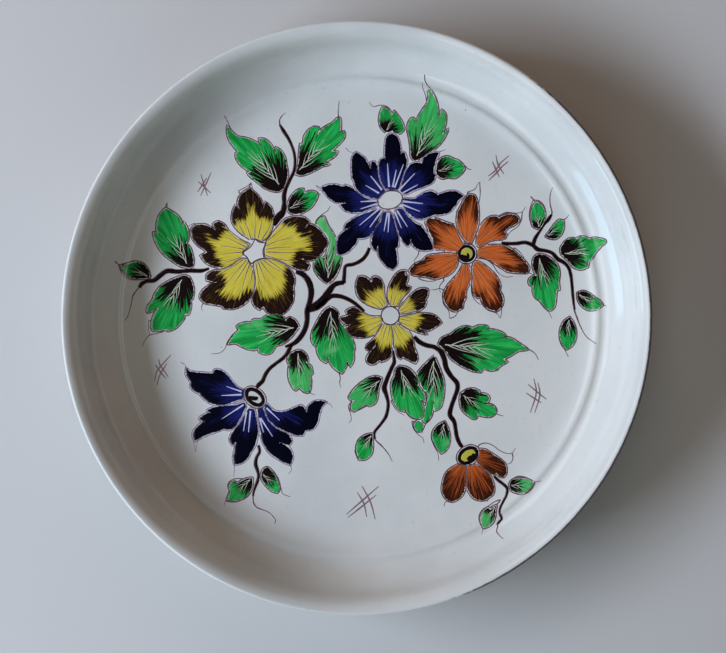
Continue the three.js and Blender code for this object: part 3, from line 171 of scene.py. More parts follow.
YELLOW_POSY = [
    [[[11.8, 5.1], [7.3, 6.3], [3.6, 8.2], [1, 11], [0, 14.5], [0.2, 18]], [[1, 20.1], [3, 20.4],
     [5.5, 19.2], [7.3, 17.5]], [[8, 19.7], [9.7, 20.2], [11.9, 18.5], [13, 16], [13.2, 12.5],
     [13.8, 9.5]], [[14.7, 7]], [[13, 5.9]]],
    [[[17.3, 6.6], [15.9, 9], [15.6, 12.5], [16.3, 16], [17.5, 18.3], [19.2, 21], [21.5, 22.8]],
     [[23.9, 23.2], [23.5, 21.3]], [[25, 20.5], [24.7, 18.5], [24, 16.5]], [[25, 15.3], [26.4, 15]],
     [[25, 13], [23, 11], [21.3, 8.7]], [[20, 6.3]]],
    [[[21, 4], [22.5, 6.5], [25, 9.3], [27.5, 12.1], [30, 13.8], [32.5, 14.4]], [[34.7, 13.9],
     [34.6, 11.7], [33.5, 9.3]], [[31.3, 7.3]], [[34, 7.9], [33, 6], [30.3, 4]], [[28.5, 4.3],
     [25.5, 3.2]], [[21.7, 2.7]]],
    [[[21.6, 0.5], [26, 1.2], [30, 2.1], [35, 2.1], [38.5, 1]], [[41.2, -2], [38, -4.2], [35, -5.6],
     [32.5, -5]], [[30.5, -4.7]], [[34, -7.5], [30.5, -6.6], [26, -4.7], [23.3, -3.3]], [[21.2, -1.2]]],
    [[[19.8, -3], [23, -5], [26, -7.4], [27.6, -11], [28, -14.3]], [[29.3, -17.3], [29.6, -19.8]],
     [[28.8, -21.5], [25.5, -20], [22.5, -18.7]], [[21.6, -19.6], [20.2, -17.8], [19.7, -15]],
     [[18.8, -13.5], [18.6, -9.5], [18, -5.5]], [[17.5, -3.8]]],
    [[[13, -3], [11.7, -5.5], [9.5, -9], [7, -11.5]], [[5.3, -12.9], [4.8, -14.6], [6, -15.2],
     [8, -14.4]], [[9.5, -13]], [[7, -16.4], [5.4, -18.8], [5.2, -20.6], [6.5, -22], [9, -21.8],
     [11.3, -20.1]], [[12.3, -20.8], [15, -19.7], [16.7, -17.5]], [[17, -14.5], [17.4, -9.5],
     [16.8, -5]], [[15.8, -3.5]]],
    [[[11.8, 0.6], [8.5, 0.6], [5.5, 1.3], [2.5, 3], [-0.5, 5], [-3.5, 4.5]], [[-5, 3.4], [-4, 2.3]],
     [[-2.5, 2]], [[-5, 0.9], [-7.8, 0], [-6.5, -1.6], [-4, -3]], [[-2.8, -2.8]], [[-5, -5],
     [-4.5, -6.5], [-2.5, -8.4], [1.5, -9.1], [5, -8.8], [8.3, -7.4], [10.7, -4.8]], [[12, -2]]],
]
BLUE_BELL = [
    [[[-56, -35.3], [-59, -34], [-61.5, -31.5], [-64, -28.3], [-67, -25.9], [-70.3, -25.4]],
     [[-71.3, -27.3], [-76, -27], [-80, -26.7], [-83, -26.2]], [[-84.7, -24.7], [-84.6, -28],
     [-82.5, -31.3]], [[-82.6, -33.8], [-80.5, -35.8], [-78, -37]], [[-77.3, -38], [-74.5, -40.5],
     [-71, -42.2], [-66, -42.4], [-60.5, -40.7]], [[-56.5, -39.3]]],
    [[[-55.7, -41.3], [-60, -42.8], [-65, -43.2], [-70, -43.8], [-74, -45.6]], [[-72, -46.3]],
     [[-75.5, -47.5], [-78, -49.5]], [[-75.8, -50.8]], [[-78.5, -53], [-80.8, -55.7], [-81.3, -58.3]],
     [[-80.3, -60.3], [-77, -58.5], [-73, -56.8], [-69, -55.5]], [[-66, -54.3], [-63, -54.7],
     [-60, -52.8], [-58, -49.5]], [[-55, -43.5]]],
    [[[-53.3, -44.3], [-55.5, -47.5], [-57.7, -51.5], [-61, -55.5], [-62.8, -59.5]], [[-61.7, -62.2]],
     [[-59.8, -60.8], [-60.3, -65], [-61, -69]], [[-60.4, -71.9], [-57, -71], [-54.3, -69],
     [-52.3, -65.3]], [[-50.3, -62.3], [-49.7, -60], [-49, -56], [-49.3, -52], [-50, -48]],
     [[-50.8, -44.8]]],
    [[[-48.9, -44.8], [-48.5, -50], [-47.4, -56], [-46.2, -61], [-43, -65.8], [-38.5, -69],
     [-34.5, -71]], [[-32.8, -71.6], [-31.7, -68.5], [-32.8, -64.5], [-35.5, -62.3]], [[-38.5, -60.5]],
     [[-33.5, -62.2], [-32.2, -60], [-34, -57], [-38, -55]], [[-41.5, -52.8], [-44.5, -49], [-46, -45]],
     [[-47, -43.8]]],
    [[[-44.3, -42], [-41.5, -45], [-38, -46.1], [-34, -45.4], [-30.5, -43.9], [-27, -43]],
     [[-24.6, -46]], [[-24, -43.3], [-21.5, -41.2], [-18.7, -40.4]], [[-15.2, -41], [-17.2, -43.3],
     [-18.5, -47], [-19.7, -51.5], [-22, -54.2], [-25, -54.6]], [[-26.4, -57.1], [-30, -57.1],
     [-34, -55.6]], [[-39, -53.5], [-43, -50.5], [-45, -46.5]], [[-45.3, -43.2]]],
]
ORANGE_BELL = [
    [[[49.5, -71], [46.5, -72.7], [43.8, -75.3], [42.5, -79], [42, -83.5], [43.5, -87], [46.3, -88.6],
     [49.5, -87.4], [52, -84.5], [53, -80.5]], [[53.4, -76], [53, -72]]],
    [[[54.5, -71.8], [54, -76], [53.9, -80.5], [55, -84], [57.5, -87], [60.5, -87.8], [63, -87.4]],
     [[64.5, -86.3], [66.3, -84.7], [66.7, -81.5], [65.7, -77.8], [64.3, -75.5]], [[62, -73],
     [58, -71.3]]],
    [[[59.8, -63.4], [62.5, -63.7], [66, -65.8], [69.5, -68], [71.5, -69.7]], [[72.6, -71.5],
     [72.6, -75]], [[71.5, -76.5], [69.5, -76.2], [68, -74.3]], [[67, -75.7], [64.5, -74.3],
     [61.5, -72.2]], [[58.8, -70]], [[60, -67]]],
]
LEAVES = {
    "leaf_north_west": [[[-36.4, 63.7], [-38.5, 62.6], [-42, 63], [-45.5, 64.5], [-48.5, 67],
        [-52, 69.8]], [[-53.7, 71.5]], [[-52, 72.3], [-55, 74], [-58, 76.7], [-59.5, 79.5]],
        [[-59.6, 81.3]], [[-58, 82], [-60.5, 84.7], [-62.7, 87.8], [-63.7, 91]], [[-63.8, 94.3],
        [-61.8, 91.7], [-59, 89.5], [-54, 88.4], [-50, 86.5]], [[-47, 84.7]], [[-48, 88.2],
        [-45.3, 87.7], [-42.5, 85.2], [-40.5, 81.8]], [[-39.9, 80]], [[-39.7, 83.8], [-37.3, 82],
        [-35.5, 78.7], [-34.9, 75], [-34.2, 71], [-35, 67]]],
    "leaf_north": [[[-29.8, 71], [-27.5, 70.4], [-24, 71.2], [-20, 73], [-16.5, 74.8]], [[-13.8, 75.4]],
        [[-16.5, 76.3], [-13, 78.3], [-10.5, 80]], [[-9.5, 81.3], [-12.8, 81.7]], [[-11, 83.5],
        [-8, 86.2], [-6, 89], [-6.3, 91.2]], [[-8.5, 90]], [[-8, 93.5], [-8.5, 97.9]], [[-12, 95.3],
        [-15.5, 93.5], [-18, 91.2], [-19.7, 88.2]], [[-19.3, 91.2], [-18.5, 93.2]], [[-21, 93.7],
        [-23.7, 92], [-25.6, 89], [-26.1, 85.5]], [[-27.5, 85.3], [-28, 81], [-28.4, 77], [-29, 74]]],
    "leaf_by_fork": [[[-34, 53.6], [-33.5, 57], [-31.5, 60.5], [-28.5, 63]], [[-26.3, 63.3],
        [-25.7, 61.3]], [[-23.5, 62.2], [-21, 62], [-19.3, 60.7]], [[-19.3, 60.3], [-20.5, 57.5],
        [-22.7, 54.6], [-25.8, 52.5], [-29.5, 51.5]], [[-33, 52]]],
    "leaf_bud": [[[14.3, 91], [12.5, 92.8], [11.4, 96], [11.8, 100]], [[12.8, 102.5], [15.5, 101.5],
        [17.5, 99]], [[18.5, 100.7], [21, 97.3], [22.5, 94.5], [23.1, 92.3]], [[21.7, 90.6],
        [20.2, 90.2], [18.3, 90.9]], [[17.8, 91.7], [16, 91]]],
    "leaf_flame": [[[28.5, 76.8], [27, 78.5], [26.7, 83], [26, 87.5], [25.3, 92], [25.8, 95.5],
        [27.5, 97.3]], [[29.4, 94.8]], [[30.3, 97.8], [32.5, 101.2], [34.7, 104.3], [35.5, 108]],
        [[35.2, 111], [37.3, 108.3], [39, 104.3], [39.7, 100]], [[39.9, 96.8]], [[41.7, 100.9],
        [43.3, 99], [43.4, 95], [42.2, 91], [41.8, 89]], [[44.5, 91.5], [42.5, 87.3], [39.5, 83.7],
        [35.8, 80.9], [31.8, 78.2]]],
    "leaf_east_of_blue": [[[39, 71.5], [39.6, 75], [41.5, 77.5], [44.5, 78.3], [47, 77.2]],
        [[49.5, 76.3], [51.5, 74.5]], [[52.5, 72.5], [50.8, 70.2], [48, 68.4], [44.5, 68.7], [42, 68.2],
        [40.1, 69.3]]],
    "leaf_west_upper": [[[-83.5, 25.2], [-87.5, 26.2], [-91.5, 28.5], [-95.5, 31.5], [-99, 36],
        [-100.7, 40], [-101, 42.5]], [[-99.2, 41.7]], [[-99.5, 45], [-98.8, 49.5], [-97, 52.5]],
        [[-95, 54.4], [-92, 52.7], [-89, 50.5], [-87.3, 47.5]], [[-87, 45]], [[-86, 47.2],
        [-84.5, 44.5], [-83.8, 41], [-84.2, 38.3]], [[-85.3, 37.5], [-83, 35], [-81.7, 31],
        [-81.3, 27.5], [-82, 25.7]]],
    "leaf_west_lower": [[[-86, 21.2], [-83.7, 20.5], [-82, 17.5], [-81.2, 14], [-81.7, 10]],
        [[-82.8, 9], [-82.7, 5.5], [-84, 2]], [[-85.5, 2.8]], [[-86, 0], [-88.5, -3], [-91.5, -5.2],
        [-94.5, -5.8]], [[-95, -5], [-98.5, -5.7], [-101.7, -5.5]], [[-102.3, -3], [-101.3, 1],
        [-99, 5]], [[-98.3, 5.8]], [[-101, 4.3], [-104.5, 3.3]], [[-104, 6], [-101.7, 9],
        [-100.3, 12.5], [-97.5, 16], [-93.5, 18.3], [-89.5, 20]]],
    "leaf_west_tip": [[[-103.5, 20.5], [-104, 23.5], [-106.5, 26.5], [-110, 27.8], [-113.5, 26.8]],
        [[-117, 25.5], [-115, 22.7], [-112, 20.5], [-107.5, 20]]],
    "leaf_curl": [[[-14, 17.6], [-11.5, 19.7], [-9.3, 23.3], [-8, 27], [-7.8, 30.2]], [[-10, 30.8],
        [-10.3, 35], [-10.4, 38.8], [-12, 42], [-14.3, 45.5]], [[-16, 49.5], [-17.5, 49.2],
        [-19.5, 47]], [[-17, 43.8], [-14, 40.3], [-13.2, 36], [-14.3, 32.5]], [[-15.3, 29.5],
        [-18, 29.8], [-20.3, 28.2], [-20.8, 25], [-19.5, 22], [-17, 19.2], [-14.5, 17.6]]],
    "leaf_mid_west": [[[-28.6, -4], [-30.5, -1], [-33.3, 0.4]], [[-35, -1.5]], [[-36.5, 1.2],
        [-40, 1.8], [-44, 1.3], [-47.5, -0.5], [-51, -0.8]], [[-52, -2.3], [-55.5, -2.3], [-59.3, -4]],
        [[-57.7, -5.7], [-60.5, -8], [-62.2, -10.5]], [[-63.3, -12.3], [-60, -12], [-56.5, -13.7],
        [-53, -15], [-50, -15]], [[-49, -13.8]], [[-48, -16.3], [-45.5, -17.2], [-42.5, -16.7],
        [-40.7, -14.5]], [[-40, -13.2], [-36.5, -12.2], [-32.5, -9]]],
    "leaf_mid": [[[-13, 5.5], [-15.5, 4], [-18, 0.8], [-20, -2.8], [-21.7, -7], [-21.8, -11]],
        [[-20.3, -13.5]], [[-19.3, -11.8], [-19.3, -16], [-17.5, -19.7]], [[-15.2, -21.3]],
        [[-13.9, -18.7], [-12.3, -22.5], [-9.5, -25.2]], [[-7.2, -26.5], [-5.2, -23.3], [-4.8, -20]],
        [[-3, -23.3], [-1.6, -20], [-1.8, -16.8]], [[-1.2, -14.5], [-1.8, -11.5], [-4.5, -7],
        [-7.5, -3], [-9, -0.3]], [[-8.7, 1], [-10, 3.8]]],
    "leaf_mid_small": [[[-29, -15.8], [-32, -17.2], [-34, -20]], [[-33, -23], [-33.5, -27],
        [-32.5, -31.5], [-30, -35]], [[-28.4, -33]], [[-26.3, -35.5], [-23.7, -36], [-22.7, -31.5],
        [-22.9, -28]], [[-21.9, -26.7], [-22.5, -23.8], [-25.3, -21.3]], [[-24, -20.8], [-25, -18],
        [-27, -16.2]]],
    "leaf_south": [[[12.2, -29.3], [10, -28.5], [7, -28.9], [4, -30.5], [0.5, -33.2], [-2, -36],
        [-3.5, -39]], [[-0.8, -40]], [[-2.3, -42.3], [-2, -44.8]], [[1, -44], [4.7, -41.9]],
        [[6.5, -42.5], [8.8, -41.2], [10, -38.5], [10.5, -34.5], [11.7, -31]]],
    "leaf_south_tip": [[[7.8, -56.4], [5, -56.9], [2, -58.7], [0.4, -61.5], [0.3, -65]], [[1.8, -68.8],
        [4.5, -68.4], [7, -66], [7.7, -62.5], [7.6, -59]]],
    "leaf_south_twin": [[[21.2, -23.3], [19.3, -25], [18.8, -28], [17.4, -31], [17.4, -35], [18.5, -40],
        [20.8, -43.8]], [[23.3, -45]], [[23.8, -43.8], [26, -46.7], [29.5, -48.3], [31.8, -48]],
        [[32.5, -45], [32, -41.5], [30.5, -38.8]], [[33.4, -40.2], [33, -37], [31, -34]],
        [[29.8, -32.8]], [[30.2, -31.5], [28.9, -28.3], [26.7, -25.5], [24.3, -23.9]]],
    "leaf_south_tall": [[[37.8, -18.5], [35.5, -20.7], [32.5, -23.7], [30, -27.3]], [[31.3, -31],
        [33, -34.3], [34.3, -35]], [[35.3, -37], [34.8, -40.5], [33.9, -43.5], [33.3, -47],
        [32.9, -50.2]], [[34.3, -50], [36.2, -47.5], [37.2, -44], [37.6, -40.3]], [[38.5, -44.4],
        [40.5, -43.2], [41.8, -40], [42.5, -35], [42.3, -30], [40.8, -25.5], [39, -21.3]]],
    "leaf_drop": [[[30.4, -50], [28.9, -50.9], [28.5, -52.4], [29.3, -54.1], [30.8, -54.8],
        [32.1, -53.5], [32.4, -51.6]]],
    "leaf_east_big": [[[40.2, -12.5], [41.3, -10.2], [44, -8.6]], [[46, -8], [49, -5.5], [52, -4.2],
        [54.5, -4.2]], [[56.5, -5], [60, -3.7], [64, -4.4]], [[62.5, -5.7], [66, -5.7], [69.5, -6.6],
        [72, -8.4]], [[70.5, -9.2], [75, -9.8], [79, -12.2]], [[82.8, -14.9], [78.5, -15.5],
        [75, -17.7], [71.3, -19.8]], [[73, -21], [70, -22.6]], [[68.3, -24.4], [65.5, -25],
        [62, -24.2]], [[60.5, -25.8], [57, -25.3], [53, -23.7], [49, -21.3], [45.8, -18.7]],
        [[44.3, -16.2], [42.3, -14.3]]],
    "leaf_east_small": [[[51, -36.5], [50.7, -40], [51.5, -43.7], [54, -46.5], [57.8, -48.5]],
        [[59, -46.2]], [[61, -47], [64.5, -47.4], [67, -46.3], [67.8, -44.5], [66, -42.2], [63, -41.7]],
        [[61.5, -41.3]], [[64, -40], [64.3, -38.2], [62.5, -36.8], [60.5, -36.8]], [[59.7, -37.5]],
        [[59.5, -35.3], [57, -34.2], [54, -34.6], [51.8, -36]]],
    "leaf_south_east": [[[43, -50.3], [40, -52], [37.8, -54.7], [37.3, -58], [38.8, -61.5]],
        [[41.5, -65.3], [43.7, -63.7], [45.2, -60.5], [45.3, -56.5], [44.3, -53]]],
    "leaf_bell_east": [[[74.4, -80.5], [75.2, -78.7], [77.5, -77.7], [81, -77.5], [83.7, -78]],
        [[85.5, -79.2], [84.3, -81.3], [82, -83.3], [78.6, -83.9], [75.2, -82.7]]],
    "leaf_bell_south": [[[67.9, -90.5], [66, -91.6], [65, -92.6]], [[64, -91.7], [61.8, -93.7],
        [60.7, -96.5]], [[61.9, -101], [64.3, -100], [66.4, -98], [67.2, -95], [67.5, -92.5]]],
    "leaf_east_bud": [[[88.3, 43.2], [86, 44.3], [85, 47.5], [85.2, 52], [86.7, 55.2]], [[87.8, 55.8],
        [90, 53.7], [91.2, 50], [90.6, 46.7], [89.5, 44.5]]],
    "leaf_east_bud_small": [[[92, 39.6], [94, 42.3], [96.3, 45.5], [98.3, 47.2]], [[100, 46.7],
        [100, 43.5], [98.7, 40.3], [96.3, 38.6], [93.7, 38.8]]],
    "leaf_east_rim": [[[99.3, 31], [99, 33.5], [101, 36.8], [104, 38.4]], [[106, 38], [108.5, 39],
        [111, 38.5]], [[112, 37.7], [115, 38.3], [119.8, 36.7], [117.3, 34.2], [115, 31.5]],
        [[113.7, 29.3], [112, 27.3]], [[111.5, 24.8], [108.5, 23.7], [105.3, 24.7], [102.5, 28]]],
    "leaf_east_inner": [[[88.3, 30.8], [86.3, 29.3], [85.7, 26], [86.5, 22.5]], [[87.8, 20.5],
        [85.5, 20], [83.8, 18.3], [84.3, 16.3]], [[86, 16], [85.8, 12.7], [87, 10.2], [89, 8.8]],
        [[91.5, 5.7], [94, 4.1]], [[95.8, 6], [96.3, 10.5], [96.8, 13.8]], [[98, 14], [97.7, 18],
        [98, 22], [97, 25.5], [94, 28.7], [91, 30.3]]],
    "leaf_east_edge": [[[107, 12], [109, 12.8], [112, 12], [114.5, 10], [117, 8.3]], [[118.5, 6.5],
        [115.5, 4.6], [112, 4.4], [109, 6.3], [107.3, 9]]],
    "leaf_east_low": [[[103, 0.3], [100.5, -1.7], [99, -5], [98.8, -8.5], [99.7, -12]], [[101.7, -14.6],
        [104.3, -12.7], [105.9, -9], [105.7, -5], [104.5, -1.8]]],
    "leaf_bell_twig_west": [[[-51.8, -78.7], [-54, -79], [-57, -80.3], [-59, -81.3]], [[-60.5, -80.7],
        [-62.5, -81.5], [-63, -83.5], [-62.5, -85]], [[-63.3, -87.3], [-63.5, -89.5]], [[-60.5, -89.6],
        [-57, -88.7], [-54, -86.7], [-52.2, -83.7], [-51.8, -80.7]]],
    "leaf_bell_twig_east": [[[-46.8, -76], [-46, -74.3], [-44, -73.5], [-42, -75.2], [-40.3, -78],
        [-39, -81], [-38.4, -84]], [[-39.2, -85.4], [-41.8, -84.6], [-44.3, -82.3], [-46.3, -79.7],
        [-47, -77.7]]],
}
# Stems are brush strokes: each point is x, y and the stroke's width there.
STEMS = {
    "stem_main": [
        [[-30, 22.9, 1.6], [-26.5, 21.7, 2.5], [-23.5, 18, 2.7], [-22.3, 13, 2.7], [-23, 8.3, 2.4],
         [-24.3, 4, 2.4], [-24.4, -1, 2.3], [-25.5, -5.5, 2.3], [-28.2, -9.8, 2.2], [-31, -12.3, 1.9],
         [-35.3, -13.9, 0.9]],
        [[-32.2, -12.8, 1.8], [-33.9, -16.6, 1.8], [-36, -19.2, 1.6], [-40, -22.2, 1.4],
         [-43.3, -25, 1.6], [-45.3, -28, 1.7], [-46.6, -30.9, 1.8], [-48.6, -32.8, 1.9],
         [-49.6, -34.2, 1.7]],
        [[-24.6, 4.3, 3], [-20, 6, 4], [-16.3, 9, 4], [-13.5, 13.3, 3], [-10.7, 16.6, 2.2],
         [-6.2, 17.7, 1.9]],
        [[-6.3, 17.2, 1.8], [-6, 21.3, 1.6], [-5.3, 25.6, 1.4], [-1.5, 26.5, 1.5], [2.5, 28.5, 1.6],
         [5, 31.3, 1.5], [6.4, 34.5, 1.3]],
        [[-20, 5.2, 2.2], [-16.3, 8, 2.4], [-12.3, 10.9, 2], [-8, 10.8, 1.8], [-3, 8.8, 1.6],
         [1.2, 5.7, 1.4], [3.8, 3.4, 1.1]],
    ],
    "stem_north": [
        [[-40.6, 45.6, 1.6], [-39.3, 49, 3.4], [-36.3, 52.4, 2.8], [-35.7, 56.5, 2], [-35.8, 60.5, 2],
         [-34.9, 64, 1.6]],
        [[-35.1, 63.5, 1.6], [-33, 68, 1.5], [-31, 72, 1.3], [-30.3, 77, 1.2], [-31, 82, 1.1],
         [-33.2, 87.5, 1.2], [-36, 92, 1.5], [-38, 95.3, 0.6]],
    ],
    "stem_west": [
        [[-73.2, 24.7, 0.9], [-77, 23.6, 1.6], [-83, 23.7, 1.9], [-89, 23.2, 1.9], [-94.5, 23.5, 2.2],
         [-98, 21.3, 2.2], [-101.2, 18.9, 2], [-104.8, 18.6, 1.7], [-107.2, 17.3, 1.8],
         [-108.6, 15.4, 1.4]],
    ],
    "stem_south": [
        [[18, -15.5, 0.7], [18.3, -18.5, 1.2], [18.5, -21.3, 1.6], [17.3, -24, 1.7], [16, -27, 1.7],
         [14.6, -30.5, 1.9], [13.6, -33.9, 2.3], [14.6, -37.3, 1.7], [15.5, -41, 1.4],
         [15.3, -44.5, 1.3], [14.3, -48, 1.4], [11.7, -51.8, 1.1], [8.7, -55.9, 1.1], [9.1, -59, 0.8]],
    ],
    "stem_east": [
        [[28.2, -8.8, 1.4], [30.5, -11.2, 2], [34, -13, 1.9], [38, -13.9, 1.9], [41.2, -16, 2.4],
         [42.8, -19.5, 2.3], [43.8, -24, 2.2], [46.2, -28, 2], [49, -31.3, 2], [49.3, -34, 1.9],
         [48, -38, 1.8], [46.4, -42.5, 1.8], [45.6, -46.8, 2], [47.6, -50, 1.8], [48.4, -54, 1.6],
         [49, -57.5, 1.7], [50.4, -60.8, 1.6], [51.6, -62.4, 1.5]],
    ],
    "stem_right": [
        [[70.4, 36.6, 0.9], [72.2, 36.1, 1.6], [75, 36.1, 1.4], [78, 36.2, 1.5], [82, 36.6, 1.5],
         [85.4, 35.3, 1.6], [88, 33.2, 1.8], [92, 32.5, 1.4], [95, 31.3, 1.5], [97.3, 28.6, 1.9],
         [100.2, 27, 1.6], [102.5, 24.6, 1.4], [103.6, 21, 1.3], [104.2, 16.5, 1.2], [104.6, 11.5, 1.1],
         [105, 7.5, 0.9], [105.5, 4, 0.6]],
        [[85.5, 34.8, 1.6], [86.7, 38.6, 1.5], [89, 42.2, 1], [91.2, 45.6, 1], [92.9, 47.6, 1.6],
         [94.5, 50, 0.8]],
    ],
    "stem_orange_bell": [
        [[67, -76.3, 1], [68.6, -78, 1.2], [71.2, -80, 1.2], [73.2, -82, 1.2], [72.9, -85.3, 1],
         [71.3, -88.5, 0.9], [69.8, -91.8, 0.9], [69.6, -94, 0.9], [70.6, -96.6, 0.9],
         [69.2, -98.4, 0.9], [68.4, -99.6, 0.7]],
    ],
    "stem_blue_bell": [
        [[-48.6, -62.3, 1], [-48, -65.5, 1.2], [-49.5, -68.5, 1.3], [-50, -71.8, 1.7],
         [-49.2, -74.3, 1.5], [-48.5, -77, 1.3], [-49, -80, 1.3], [-50.2, -83, 1.1], [-51, -85.5, 0.9],
         [-51.2, -87.5, 0.7]],
    ],
}

# The hearts of the flowers: centre, half axes and tilt of the pale middle.
HEARTS = {
    "yellow_bloom": (-50.6, 32.9, 5.6, 4.8, 60),
    "blue_bloom": (16.4, 57.8, 6.2, 4.4, 15),
    "orange_bloom": (53.7, 31.4, 4.1, 4.1, 0),
    "yellow_posy": (16.5, 1.35, 4.4, 4.4, 0),
    "blue_bell": (-50.4, -38.7, 5.6, 3.9, -40),
    "orange_bell": (54.4, -66.4, 5.3, 3.9, 35),
}
STAR = [
    [[-50.2, 39.2], [-48.3, 37.6], [-45, 37.2]], [[-44.6, 37], [-46.3, 33.5]],
    [[-45.8, 29.7], [-49, 28.9], [-52.8, 26.5]], [[-53, 26.5], [-54, 29.8]], [[-57, 32.2], [-52.5, 35.3]],
]

